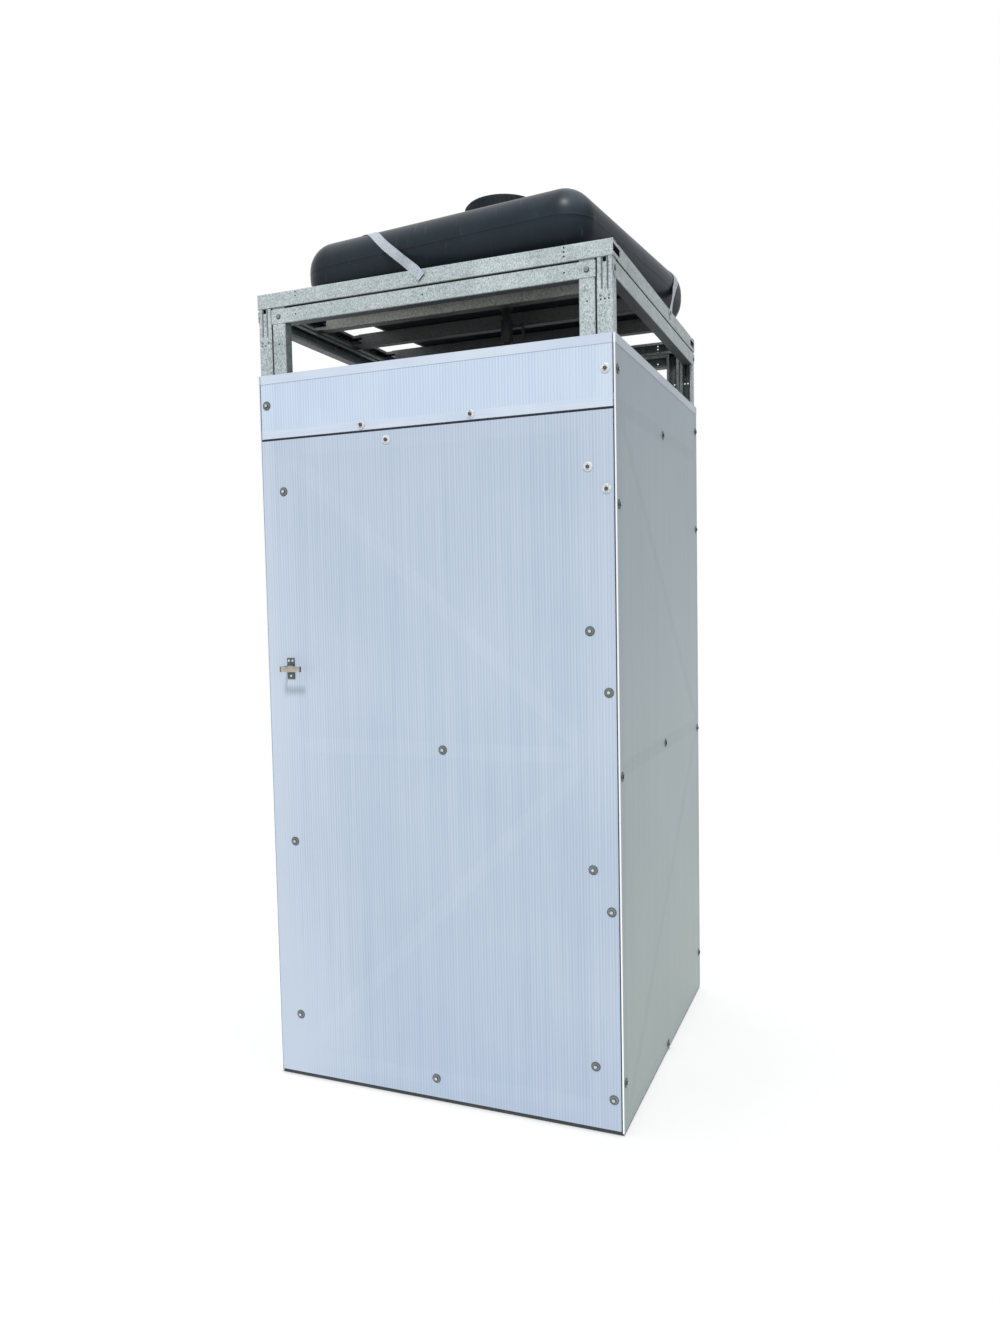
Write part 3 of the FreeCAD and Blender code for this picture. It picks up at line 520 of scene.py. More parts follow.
def sheet_tone(net, u, v, streak, flute, members, shows):
    """Streaks, clouds, flutes and the painted light and shade of the steel behind, as one number around
    nought.
    """
    flat = net.vector(u, v)
    broad = net.noise(net.stretch((u, BROAD_STREAK[0]), (v, BROAD_STREAK[1])), detail=2.0)
    cloud = net.noise(flat, CLOUD, detail=2.0)
    behind = 0.0
    for start, end, half in members:
        behind = net.larger(behind, band(net, flat, start, end, half))
    tone = net.plus(net.sway(streak, STREAK_SHOWS), net.sway(broad, BROAD_SHOWS))
    tone = net.plus(tone, net.sway(cloud, CLOUD_SHOWS))
    tone = net.plus(tone, net.times(flute, FLUTE_SHOWS))
    return net.plus(tone, net.times(behind, shows))


def sheet_edges(net, shade, u, across):
    """Painted shade in the open cells on the upper and lower ends, and pale cut sides."""
    normal = net.normal("True Normal")
    end_face = net.above(net.away(normal[2]), END_FACE)
    cell = net.above(net.away(net.math("SINE", net.times(u, pi / FLUTE))), CELL_OPEN)
    shade = net.mix(net.times(end_face, cell), shade, OPEN_CELL_SHADE)
    if across == "UV":
        return shade
    cut = net.above(net.away(normal["XY".index(across)]), END_FACE)
    return net.mix(cut, shade, CUT_SIDE)


def sheet_material(name, across, members, tones, low_tint, high_tint=NO_TINT, gloss=WALL_GLOSS,
                   shows=STEEL_LIGHT_SHOWS, glow=None):
    """Pale cellular sheet with upright flutes, carrying the painted light and shade of the steel behind it.
    """
    net = Net(name)
    u, v = sheet_place(net, across)
    streak = net.noise(net.stretch((u, STREAK[0]), (v, STREAK[1])), detail=2.0, rough=0.6)
    flute = net.math("SINE", net.times(u, 2 * pi / FLUTE))
    tone = sheet_tone(net, u, v, streak, flute, members, shows)
    if glow is not None:
        tone = net.plus(tone, glow(net, u, v))
    shade = net.mix(net.ramp(tone, *TONE_RANGE), *tones)
    shade = net.mix(net.ramp(v, *LOW_TINT_Z), shade, low_tint, "MULTIPLY")
    shade = net.mix(net.ramp(v, *HIGH_TINT_Z), shade, high_tint, "MULTIPLY")
    net.set(Base_Color=sheet_edges(net, shade, u, across), Roughness=net.spread(streak, *SATIN))
    net.set(IOR=1.49, Specular_IOR_Level=gloss)
    net.bump(net.plus(net.times(flute, 0.5), streak), strength=0.22, distance=0.0004)
    return net.material


# Zinc-coated steel: colours of each kind from dark to light, of its specks and of its painted shade

ZINC = (colour(146, 157, 159), colour(208, 218, 220))
JOIST_ZINC = (colour(164, 168, 160), colour(206, 209, 201))
# The sill's dark colours are painted shade, for the gap under the door
SILL_SHADE_ZINC = (colour(58, 64, 66), colour(98, 105, 107))
STRAP_ZINC = (colour(164, 174, 185), colour(198, 206, 216))
LATCH_ZINC = (colour(66, 75, 74), colour(108, 117, 115))
# Painted bright reflection of the upper front washers; the same zinc serves the latch plate's screws
WASHER_ZINC = (colour(206, 211, 215), colour(228, 231, 234))
# Painted shaded copy of the washers' zinc
SHADED_WASHER_ZINC = (colour(92, 102, 100), colour(124, 134, 131))
# Painted highlight on the tops of the darker screws' heads
CAP_ZINC_HIGHLIGHT = (colour(186, 193, 192), colour(214, 220, 219))
BOLT_ZINC = (colour(110, 118, 122), colour(164, 171, 175))
# Painted shade on screw heads and on the rims of washers and dome bolts
HEAD_ZINC_SHADE = (colour(58, 66, 70), colour(100, 108, 112))
SPECK = colour(84, 92, 95)
# Colour of the painted shade in grooves, dimples, seams, the foot, the gap and deep under the tank
SHADE_MARK = colour(64, 72, 76)
# Near black that the painted shade in inner corners, on undersides and on right faces goes towards
DEEP_SHADE_TONE = colour(26, 31, 33)

# Where the painted shade on the steel begins and ends: grooves, dimples, seam, foot, gap and members deep
# under the tank
GROOVE_SOFT = (0.0012, 0.0034)
GROOVE_FADE = (GROOVE_Z - 0.006, GROOVE_Z + 0.004)
DIMPLE_SOFT = (0.0022, 0.0046)
SEAM_SOFT = (SEAM_Z, SEAM_Z + 0.0010)
FOOT_SHADE_Z = (0.020, 0.012)
GAP_Z = (FASCIA_LOW + 0.002, FASCIA_LOW)
DEEP_Y = (-0.20, -0.10)

# Shade in inner corners, by the sky that they see, and on undersides and right faces, by their normal
INNER_REACH = 0.15
INNER_RANGE = (0.1, 0.6)
INNER_SHADE = 0.85
UNDER_RANGE = (-0.9, -0.5)
UNDER_SHADE = 0.8
RIGHT_RANGE = (0.5, 0.9)
RIGHT_SHADE = 0.28
ZINC_RANGE = (0.25, 0.75)

# What makes up the tone of the zinc, and its specks
GRAIN_SHARE = 0.25
BLOOM_SHARE = 0.55
STAIN_SHARE = 0.20
FINE_SHOWS = 0.14
SPECK_RANGE = (0.56, 0.66)
SPECK_SHARE = 0.55


def groove_shade(net, x, y, z):
    """Mask of painted shade in the two grooves and two dimples that are pressed into the top of each post.
    """
    off = net.away(net.away(x), POST_X)
    line = net.away(off, GROOVE_AT)
    groove = net.times(net.ramp(line, *GROOVE_SOFT, 1.0, 0.0), net.ramp(z, *GROOVE_FADE))
    to_dimple = net.vector(net.math("SUBTRACT", off, DIMPLE_AT), net.math("SUBTRACT", z, DIMPLE_Z))
    return net.larger(groove, net.ramp(net.length(to_dimple), *DIMPLE_SOFT, 1.0, 0.0))


def seam_shade(net, x, y, z):
    """Mask of painted shade along the seam between the top rails and the ring over them."""
    return net.ramp(z, *SEAM_SOFT)


def foot_shade(net, x, y, z):
    """Mask of painted shade along the foot of the front."""
    return net.ramp(z, *FOOT_SHADE_Z)


def gap_shade(net, x, y, z):
    """Mask of painted shade on the header's foot, in the gap between the fascia and the door."""
    return net.ramp(z, *GAP_Z)


def deep_shade(net, x, y, z):
    """Mask of painted shade on the cross members that lie deep under the tank."""
    return net.ramp(y, *DEEP_Y)


def zinc_shade(net):
    """Painted shade on the steel by its place: inner corners, undersides and faces to the right."""
    inputs = {"Distance": INNER_REACH}
    open_sky = net.node("ShaderNodeAmbientOcclusion", inputs, samples=8).outputs["AO"]
    normal = net.normal()
    inner = net.ramp(open_sky, *INNER_RANGE, INNER_SHADE, 0.0)
    under = net.ramp(normal[2], *UNDER_RANGE, UNDER_SHADE, 0.0)
    right = net.ramp(normal[0], *RIGHT_RANGE, 0.0, RIGHT_SHADE)
    return net.larger(inner, net.larger(under, right))


def zinc_material(name, tones, metallic, rough, marks=None, depth=0.7, spangle=280.0):
    """Zinc-coated steel: fine crystal spangle, dull bloom and small dark specks, with painted shade in
    inner corners, on undersides, on faces to the right and on its marks.
    """
    net = Net(name)
    point, x, y, z = net.place()
    inputs = {"Vector": point, "Scale": spangle, "Randomness": 1.0}
    cells = net.node("ShaderNodeTexVoronoi", inputs).outputs["Color"]
    grain = net.node("ShaderNodeSeparateColor", {0: cells}).outputs[0]
    bloom = net.noise(point, scale=9.0, detail=4.0, rough=0.6)
    upright = net.vector(x, y, net.times(z, 0.35))
    fine = net.noise(upright, scale=560.0, detail=2.0, rough=0.7)
    stain = net.noise(net.stretch((x, 3.0), (y, 3.0), (z, 40.0)), scale=2.0, rough=0.6)
    speck = net.noise(upright, scale=480.0, detail=1.0)
    tone = net.plus(net.times(grain, GRAIN_SHARE), net.times(bloom, BLOOM_SHARE))
    tone = net.plus(tone, net.times(stain, STAIN_SHARE))
    tone = net.plus(tone, net.sway(fine, FINE_SHOWS))
    shade = net.mix(net.ramp(tone, *ZINC_RANGE), *tones)
    shade = net.mix(net.ramp(speck, *SPECK_RANGE, 0.0, SPECK_SHARE), shade, SPECK)
    # Where a marks mask lies, painted shade darkens the steel, as far as its depth
    if marks is not None:
        shade = net.mix(net.times(marks(net, x, y, z), depth), shade, SHADE_MARK)
    # Painted shade in inner corners, on undersides and on faces to the right
    net.set(Base_Color=net.mix(zinc_shade(net), shade, DEEP_SHADE_TONE))
    net.set(Metallic=metallic, Roughness=net.ramp(tone, *ZINC_RANGE, rough + 0.1, rough - 0.06))
    net.bump(net.plus(net.times(grain, 0.4), fine), strength=0.10, distance=0.0003)
    return net.material


# Plastic of the tank, and the smaller parts; ranges of right and up are parts of a normal

TANK_TONES = (colour(27, 36, 44), colour(36, 46, 55))
# Painted shade that darkens the tank towards its foot
TANK_FOOT_SHADE = colour(20, 25, 30)
# Dust on the upper faces, together with painted sheen
TANK_DUST_AND_SHEEN = colour(84, 89, 96)
TANK_SCUFF = colour(98, 106, 114)
# Painted highlight on the tank's upper right corner
TANK_CORNER_HIGHLIGHT = colour(78, 87, 97)
# Painted shade along the tank's parting line
TANK_SEAM_SHADE = colour(14, 18, 21)
SEAM_LINE = (0.0006, 0.0020)
SEAM_SHARE = 0.6
FOOT_SHADE_SHARE = 0.6
SCUFF_RANGE = (0.60, 0.82)
SCUFF_SHARE = 0.45
DUST_AND_SHEEN_UP = (0.25, 0.9)
DUST_AND_SHEEN_CLOUD = (0.3, 0.75)
DUST_AND_SHEEN_LEAST = 0.4
DUST_AND_SHEEN_SHARE = 0.45
CORNER_START = (0.10, 0.45)
CORNER_END = (0.95, 0.75)
CORNER_UP = (-0.1, 0.4)
CORNER_HIGHLIGHT_SHARE = 0.55
GLOSS_RIGHT = (0.4, 0.9)
TANK_GLOSS = (0.16, 0.05)
LID_TONES = (colour(22, 29, 33), colour(31, 38, 43))
FITTING_TONES = (colour(28, 29, 31), colour(40, 41, 44))
RUBBER_TONES = (colour(34, 34, 35), colour(48, 48, 49))
LEVER_TONES = (colour(150, 147, 139), colour(184, 181, 173))
LEVER_END = colour(58, 64, 64)
LEVER_END_IN = (0.005, 0.001)
STRIP_TONES = (colour(194, 208, 226), colour(212, 222, 236))
# Painted shade on the strip's faces to the right
STRIP_RIGHT_SHADE = colour(152, 164, 174)


def tank_material(name):
    """Dark moulded plastic: satin skin, pale scuffs, dust and painted sheen on its upper faces, a painted
    highlight on its right corner, and painted shade towards its foot and along its parting line.
    """
    net = Net(name)
    point, x, y, z = net.place()
    peel = net.noise(point, scale=260.0, detail=2.0)
    cloud = net.noise(point, scale=5.0, rough=0.6)
    scuff = net.noise(net.stretch((x, 90.0), (y, 16.0), (z, 16.0)), detail=4.0, rough=0.75)
    normal = net.normal()
    right, up = normal[0], normal[2]
    # Dust and painted sheen on the upward faces
    dust = net.times(net.ramp(up, *DUST_AND_SHEEN_UP), net.ramp(cloud, *DUST_AND_SHEEN_CLOUD, DUST_AND_SHEEN_LEAST, 1.0))
    # Painted highlight on the upper right corner, by the normal
    corner = net.times(net.ramp(right, *CORNER_START), net.ramp(right, *CORNER_END))
    corner = net.times(corner, net.ramp(up, *CORNER_UP, 0.0, CORNER_HIGHLIGHT_SHARE))
    shade = net.mix(net.spread(cloud), *TANK_TONES)
    # Painted shade darkens the tank towards its foot, up to the parting line
    shade = net.mix(net.ramp(z, TANK_LOW, PARTING_Z, FOOT_SHADE_SHARE, 0.0), shade, TANK_FOOT_SHADE)
    shade = net.mix(net.times(dust, DUST_AND_SHEEN_SHARE), shade, TANK_DUST_AND_SHEEN)
    shade = net.mix(net.ramp(scuff, *SCUFF_RANGE, 0.0, SCUFF_SHARE), shade, TANK_SCUFF)
    shade = net.mix(corner, shade, TANK_CORNER_HIGHLIGHT)
    # Painted shade along the parting line
    seam = net.ramp(net.away(z, PARTING_Z), *SEAM_LINE, SEAM_SHARE, 0.0)
    shade = net.mix(seam, shade, TANK_SEAM_SHADE)
    net.set(Base_Color=shade, Roughness=net.spread(cloud, *SATIN))
    net.set(Specular_IOR_Level=net.ramp(right, *GLOSS_RIGHT, *TANK_GLOSS))
    net.bump(net.plus(peel, net.times(scuff, 0.4)), strength=0.12, distance=0.0005)
    return net.material


def plain_material(name, tones, scale, rough, specular=0.5):
    """Moulded small part with mottled tone and a fine skin."""
    net = Net(name)
    point = net.place()[0]
    mottle = net.noise(point, scale, detail=4.0, rough=0.6)
    fine = net.noise(point, scale * FINER, detail=2.0)
    net.set(Base_Color=net.mix(net.spread(mottle), *tones))
    net.set(Roughness=net.spread(fine, rough - 0.06, rough + 0.08))
    net.set(Specular_IOR_Level=specular)
    net.bump(fine, strength=0.12, distance=0.0003)
    return net.material


def lever_material(name):
    """Smooth plated steel with dark bent ends."""
    low, high = islands("latch_lever")[0]
    half = (high.x - low.x) / 2
    net = Net(name)
    point, x = net.place()[:2]
    mottle = net.noise(point, scale=60.0)
    off = net.away(x, (low.x + high.x) / 2)
    shade = net.mix(net.spread(mottle), *LEVER_TONES)
    end = net.ramp(off, half - LEVER_END_IN[0], half - LEVER_END_IN[1])
    net.set(Base_Color=net.mix(end, shade, LEVER_END))
    net.set(Metallic=0.35, Roughness=net.spread(mottle, *SATIN))
    return net.material


def strip_material(name):
    """Pale plastic edge strip with fine lines along it, with painted shade on its faces to the right."""
    net = Net(name)
    point, x, y, z = net.place()
    streak = net.noise(net.stretch((x, 4.0), (y, 4.0), (z, 700.0)), detail=2.0)
    mottle = net.noise(point, scale=6.0)
    tone = net.plus(net.times(streak, 0.5), net.times(mottle, 0.5))
    shade = net.mix(net.ramp(tone, 0.35, 0.65), *STRIP_TONES)
    right = net.ramp(net.normal()[0], *RIGHT_RANGE)
    net.set(Base_Color=net.mix(right, shade, STRIP_RIGHT_SHADE))
    net.set(Roughness=net.spread(mottle, 0.28, 0.40))
    net.bump(streak, strength=0.1, distance=0.0003)
    return net.material


DOOR_MEMBERS = cross_members(STILE_X, WEB_HALF, DOOR_RAILS)
POST_MEMBERS = [((s * POST_X, 0.0), (s * POST_X, UPRIGHT_TOP), WEB_HALF) for s in (-1, 1)]
SIDE_MEMBERS = cross_members(POST_Y, SIDE_BAND_HALF, WALL_RAILS)
REAR_MEMBERS = cross_members(POST_X, WEB_HALF, WALL_RAILS)

door_skin = sheet_material("sheet_door", "UV", DOOR_MEMBERS + POST_MEMBERS, DOOR_TONES, FRONT_LOW,
                           gloss=FRONT_GLOSS, glow=door_glow)
fascia_skin = sheet_material("sheet_fascia", "X", POST_MEMBERS, FASCIA_TONES, FRONT_LOW, gloss=FRONT_GLOSS)
# The right side sheet is a painted shaded copy of the same sheet
side_skin_shaded = sheet_material("sheet_side_painted_shade", "Y", SIDE_MEMBERS, SHADED_SIDE_TONES, SIDE_LOW, SIDE_HIGH,
                           shows=SIDE_STEEL_SHADE_SHOWS)
left_skin = sheet_material("sheet_left", "Y", SIDE_MEMBERS, DOOR_TONES, FRONT_LOW)
rear_skin = sheet_material("sheet_rear", "X", REAR_MEMBERS, DOOR_TONES, FRONT_LOW)
strip = strip_material("edge_strip")
zinc = zinc_material("galvanised", ZINC, metallic=0.55, rough=0.50)
post_zinc = zinc_material("post_zinc", ZINC, metallic=0.55, rough=0.50, marks=groove_shade)
rail_zinc = zinc_material("rail_zinc", ZINC, metallic=0.55, rough=0.50, marks=seam_shade)
# The cross members under the tank carry painted shade towards the rear
joist_zinc = zinc_material("joist_zinc", JOIST_ZINC, metallic=0.40, rough=0.50, marks=deep_shade)
sill_zinc_painted_shade = zinc_material("sill_zinc_painted_shade", SILL_SHADE_ZINC, metallic=0.30, rough=0.60, marks=foot_shade)
# The header's foot carries painted shade in the gap below the fascia
header_zinc = zinc_material("header_zinc", ZINC, metallic=0.30, rough=0.60, marks=gap_shade, depth=1.0)
strap_zinc = zinc_material("strap_zinc", STRAP_ZINC, metallic=0.40, rough=0.45, spangle=300.0)
latch_zinc = zinc_material("latch_zinc", LATCH_ZINC, metallic=0.60, rough=0.40, spangle=260.0)
lever_steel = lever_material("lever_steel")
washer_zinc = zinc_material("washer_zinc", WASHER_ZINC, metallic=0.25, rough=0.40, spangle=400.0)
washer_zinc_painted_shade = zinc_material("washer_zinc_painted_shade", SHADED_WASHER_ZINC, metallic=0.20, rough=0.50, spangle=400.0)
cap_zinc_highlight = zinc_material("cap_zinc_highlight", CAP_ZINC_HIGHLIGHT, metallic=0.50, rough=0.34, spangle=300.0)
bolt_zinc = zinc_material("bolt_zinc", BOLT_ZINC, metallic=0.75, rough=0.30, spangle=300.0)
head_zinc_shaded = zinc_material("head_zinc_shaded", HEAD_ZINC_SHADE, metallic=0.75, rough=0.40, spangle=300.0)
tank_skin = tank_material("tank_plastic")
lid_skin = plain_material("lid_plastic", LID_TONES, scale=30.0, rough=0.60, specular=0.10)
fitting = plain_material("fitting_plastic", FITTING_TONES, scale=60.0, rough=0.45)
rubber = plain_material("gasket_rubber", RUBBER_TONES, scale=80.0, rough=0.75)

FINISH = {"edge_caps": strip, "fascia_sheet": fascia_skin, "rear_sheet": rear_skin,
          "side_sheet_left": left_skin, "side_sheet_right": side_skin_shaded, "tank_straps": strap_zinc,
          "latch_plate": latch_zinc, "latch_lever": lever_steel, "latch_tongue": latch_zinc,
          "hinge_fixed_leaves": latch_zinc, "hinge_moving_leaves": latch_zinc, "hinge_pins": latch_zinc,
          "tank_outlet": fitting, "outlet_nut": fitting, "outlet_gasket": rubber, "valve_body": fitting,
          "valve_lever": fitting, "shower_rose": fitting, "door_sheet": door_skin, "hinge_flap": door_skin,
          "water_tank": tank_skin, "tank_lid": lid_skin, "wall_screws": washer_zinc,
          "door_screws": washer_zinc, "frame_bolts": bolt_zinc, "tank_joists": joist_zinc,
          "sill_front": sill_zinc_painted_shade, "header_front": header_zinc}
for name in NODES:
    if name.startswith("post_"):
        FINISH[name] = post_zinc
    if name.startswith("top_rail_") or name.endswith("_uprights"):
        FINISH[name] = rail_zinc
for name, node in NODES.items():
    node.data.materials.clear()
    node.data.materials.append(FINISH.get(name, zinc))


# Door sheet in one piece from the hinge post to the latch side

def door_grid():
    """Columns and rows of the door sheet's mesh, close together near the hinge line."""
    bend = [BEND_X[1] + (BEND_X[0] - BEND_X[1]) * k / BEND_STEPS for k in range(BEND_STEPS + 1)]
    columns = {*DOOR_X, LATCH_X - LATCH_HOLE, LATCH_X + LATCH_HOLE, *GRID_X, *bend}
    rows = {*DOOR_Z, LATCH_Z - LATCH_HOLE, LATCH_Z + LATCH_HOLE, *GRID_Z}
    return sorted(columns), sorted(rows)


def door_sheet():
    shape = Shape()
    columns, rows = door_grid()
    layers = []
    for y in (DOOR_FACE - SHEET, DOOR_FACE):
        layers.append([shape.add([(x, y, z) for z in rows]) for x in columns])
    front, back = layers

    def in_hole(i, j):
        mid_x = (columns[i] + columns[i + 1]) / 2
        mid_z = (rows[j] + rows[j + 1]) / 2
        return abs(mid_x - LATCH_X) < LATCH_HOLE and abs(mid_z - LATCH_Z) < LATCH_HOLE

    edges = {}
    for i in range(len(columns) - 1):
        for j in range(len(rows) - 1):
            if in_hole(i, j):
                continue
            cell = [(i, j), (i + 1, j), (i + 1, j + 1), (i, j + 1)]
            shape.face([front[a][b] for a, b in cell])
            shape.face([back[a][b] for a, b in reversed(cell)])
            for a, b in zip(cell, cell[1:] + cell[:1]):
                edges[frozenset((a, b))] = None if frozenset((a, b)) in edges else (a, b)
    for pair in edges.values():
        if pair is not None:
            (a, b), (c, d) = pair
            shape.face([front[a][b], back[a][b], back[c][d], front[c][d]])
    made = shape.build("door_sheet_skin", [door_skin])
    layer = made.data.uv_layers.new(name=METRES)
    for loop in made.data.loops:
        point = made.data.vertices[loop.vertex_index].co
        layer.data[loop.index].uv = (point.x, point.z)
    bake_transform(made)
    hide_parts("door_sheet", "hinge_flap")


# Screws with sealing washers, dome bolts and the latch plate's own screws

def screws(node, body):
    shape = Shape()
    skins = [washer_zinc, head_zinc_shaded, washer_zinc_painted_shade, cap_zinc_highlight]
    bright, dark, dull, cap = range(len(skins))
    for k, (low, high) in enumerate(islands(node)):
        place = facing(low, high, HEX_TOP[-1][1])
        turned = place @ Matrix.Rotation(k * SCREW_TURN, 4, "Z")
        seat = place.translation
        # Washers of the upper front get a painted reflection, the others painted shade
        sky_lit = seat.y < FRONT_Y and seat.x > SKY_LIT_X and seat.z > SKY_LIT_Z
        shape.turn(RIM, WASHER_SIDES, place, bright if sky_lit else dark, close_high=False)
        shape.turn(WASHER, WASHER_SIDES, place, bright if sky_lit else dull)
        # Head sides and washer rims carry painted shade, and the darker screws' head tops a painted
        # highlight
        shape.turn(HEX_HEAD, HEX_SIDES, turned, dark, close_high=False)
        shape.turn(HEX_TOP, HEX_SIDES, turned, dark if sky_lit else cap)
        shape.turn(SCREW_SHANK, SHANK_SIDES, place, dark, close_low=True)
    made = shape.build(node + "_detail", skins)
    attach(made, body)
    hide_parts(node)


def dome_bolts():
    shape = Shape()
    skins = [bolt_zinc, head_zinc_shaded]
    bright, dark = range(len(skins))
    for low, high in islands("frame_bolts"):
        place = facing(low, high, DOME[-1][1])
        # The dark rim is a painted shadow ring round the dome
        shape.turn(DOME_RIM, DOME_SIDES, place, dark, close_high=False)
        shape.turn(DOME, DOME_SIDES, place, bright)
        shape.turn(BOLT_SHANK, SHANK_SIDES, place, bright, close_low=True)
    made = shape.build("frame_bolts_detail", skins)
    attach(made, "frame")
    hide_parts("frame_bolts")


def latch_screws():
    """Three small pan-head screws that hold the latch plate."""
    shape = Shape()
    turn = Matrix(((1, 0, 0), (0, 0, -1), (0, 1, 0))).to_4x4()
    for across, up in ((-1, 1), (1, 1), (0, -1)):
        seat = Vector((LATCH_X + across * LATCH_SCREW_X, LATCH_FACE, LATCH_Z + up * LATCH_SCREW_Z))
        shape.turn(PAN_HEAD, PAN_SIDES, Matrix.Translation(seat) @ turn)
    made = shape.build("latch_plate_screws", [washer_zinc])
    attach(made, "door")


# Tank and lid

def tank_ring(inset, height):
    """Rounded outline of the tank at one height, drawn in by an inset."""
    radius = max(TANK_ROUND - inset, TANK_LEAST_ROUND)
    off = max(TANK_ROUND, inset + TANK_LEAST_ROUND)
    points = []
    for number, (sx, sy) in enumerate(((1, 1), (-1, 1), (-1, -1), (1, -1))):
        x, y = sx * (TANK_HALF[0] - off), sy * (TANK_HALF[1] - off)
        for k in range(TANK_STEPS + 1):
            t = pi / 2 * (number + k / TANK_STEPS)
            points.append(Vector((x + radius * cos(t), y + radius * sin(t), height)))
    return points


def tank_side():
    """The tank's side from its floor to its top as (inset, height), with a raised parting line."""
    quarter = [pi / 2 * k / TANK_STEPS for k in range(TANK_STEPS + 1)]
    foot = [(TANK_ROUND * (1 - sin(t)), TANK_LOW + TANK_ROUND * (1 - cos(t))) for t in quarter]
    parting = [(0.0, PARTING_Z - PARTING_FOOT), (-PARTING_OUT, PARTING_Z - PARTING_LAND),
               (-PARTING_OUT, PARTING_Z + PARTING_LAND), (0.0, PARTING_Z + PARTING_FOOT)]
    top = [(TANK_ROUND * (1 - cos(t)), TANK_TOP - TANK_ROUND * (1 - sin(t))) for t in quarter]
    return foot + parting + top + [(TANK_ROUND + TANK_TOP_EDGE, TANK_TOP + TANK_TOP_RISE)]


def tank():
    shape = Shape()
    turn = Matrix.Translation(TANK_AT) @ Matrix.Rotation(TANK_TURN, 4, "Z")
    shape.tube([shape.add([turn @ p for p in tank_ring(inset, z)]) for inset, z in tank_side()])
    crown = [(CROWN_R + CROWN_SKIRT, TANK_TOP - CROWN_EASE), (CROWN_R, TANK_TOP + CROWN_EASE)]
    crown += [(NECK_R + out, CROWN_TOP + up) for out, up in NECK_BLEND]
    crown += [(NECK_R, NECK_TOP), (NECK_R - NECK_WALL, NECK_TOP), (NECK_R - NECK_WALL, NECK_FLOOR)]
    shape.turn(crown, NECK_SIDES, Matrix.Translation(TANK_AT))
    made = shape.build("tank_shell", [tank_skin], sharp=40.0)
    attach(made, "frame")
    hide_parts("water_tank")


def lid_ring(radius, height, ribbed=False):
    """One level of the lid; where it is ribbed, two points out of each rib's four stand out."""
    sides = RIBS * RIB_STEPS
    points = circle(radius, height, sides)
    if ribbed:
        outer = circle(radius + RIB_OUT, height, sides)
        points = [outer[k] if k % RIB_STEPS in (1, 2) else p for k, p in enumerate(points)]
    return [Matrix.Translation(TANK_AT) @ p for p in points]


def lid():
    shape = Shape()
    levels = [lid_ring(LID_BORE, LID_FOOT)]
    levels += [lid_ring(LID_R - inset, LID_FOOT + up) for inset, up in LID_BAND]
    levels += [lid_ring(LID_R - GRIP_INSET, z, ribbed=True) for z in GRIP_Z]
    levels += [lid_ring(LID_R - inset, LID_TOP + up) for inset, up in LID_CROWN]
    shape.tube([shape.add(level) for level in levels], close_low=False)
    inside = [lid_ring(LID_BORE, LID_FOOT), lid_ring(LID_BORE, LID_CEILING)]
    shape.tube([shape.add(level) for level in inside], close_low=False)
    made = shape.build("tank_lid_detail", [lid_skin], sharp=30.0)
    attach(made, "lid")
    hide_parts("tank_lid")


# Straps, drawn taut over the tank's rounded edges

def tank_gap(point):
    """Distance of a point from the tank's skin, and the way out from it."""
    middle = Vector((TANK_AT[0], TANK_AT[1], (TANK_LOW + TANK_TOP) / 2))
    turn = Matrix.Rotation(TANK_TURN, 3, "Z")
    local = turn.transposed() @ (point - middle)
    core = [half - TANK_ROUND for half in (*TANK_HALF, (TANK_TOP - TANK_LOW) / 2)]
    over = [abs(c) - h for c, h in zip(local, core)]
    signs = [1 if c > 0 else -1 for c in local]
    outside = Vector([s * max(o, 0.0) for s, o in zip(signs, over)])
    if outside.length > 0:
        return outside.length - TANK_ROUND, turn @ outside.normalized()
    deepest = over.index(max(over))
    way = Vector([s if k == deepest else 0 for k, s in enumerate(signs)])
    return max(over) - TANK_ROUND, turn @ way


def off_tank(point):
    """The point itself, or where it comes out when it lies inside the tank."""
    gap, way = tank_gap(point)
    return point + way * max(STRAP_CLEAR - gap, 0.0)


def strap_path(corners):
    """Points along a strap from corner to corner, eased over the tank; its two tails stay straight."""
    path = []
    for start, end in zip(corners, corners[1:]):
        steps = max(2, round((end - start).length / STRAP_STEP))
        path += [start.lerp(end, k / steps) for k in range(steps)]
    path.append(corners[-1])
    free = range(TAIL_STEPS + 1, len(path) - 1 - TAIL_STEPS)
    for easing in range(STRAP_ROUNDS):
        path = [off_tank(p) if k in free else p for k, p in enumerate(path)]
        path = [(path[k - 1] + p * 2 + path[k + 1]) / 4 if k in free else p for k, p in enumerate(path)]
    return path


def strap(shape, first_face, last_face, corners):
    """Ribbon through its corner points; both ends lie flat on faces of the ring."""
    path = strap_path(corners)
    last = len(path) - 1
    rings = []
    for k, point in enumerate(path):
        along = (path[min(k + 1, last)] - path[max(k - 1, 0)]).normalized()
        way = tank_gap(point)[1]
        near_first = max(0.0, 1 - max(0, k - TAIL_STEPS) / TWIST_STEPS)
        near_last = max(0.0, 1 - max(0, last - TAIL_STEPS - k) / TWIST_STEPS)
        way = way * max(0.0, 1 - near_first - near_last)
        way += first_face * near_first + last_face * near_last
        side = along.cross(way).normalized() * STRAP_HALF
        out = side.cross(along).normalized() * STRAP_WALL
        out = out if out.dot(way) > 0 else -out
        low, high = off_tank(point - side), off_tank(point + side)
        rings.append(shape.add([low, high, high + out, low + out]))
    shape.tube(rings)


def strap_end(x, y, tail, lift):
    """Where a strap crosses the ring's top edge, and the end of its tail on the face below."""
    edge = Vector((x, y, RING_TOP + STRAP_CLEAR))
    return edge, edge + tail * TAIL_SIDE + lift - Vector((0, 0, TAIL_DOWN))


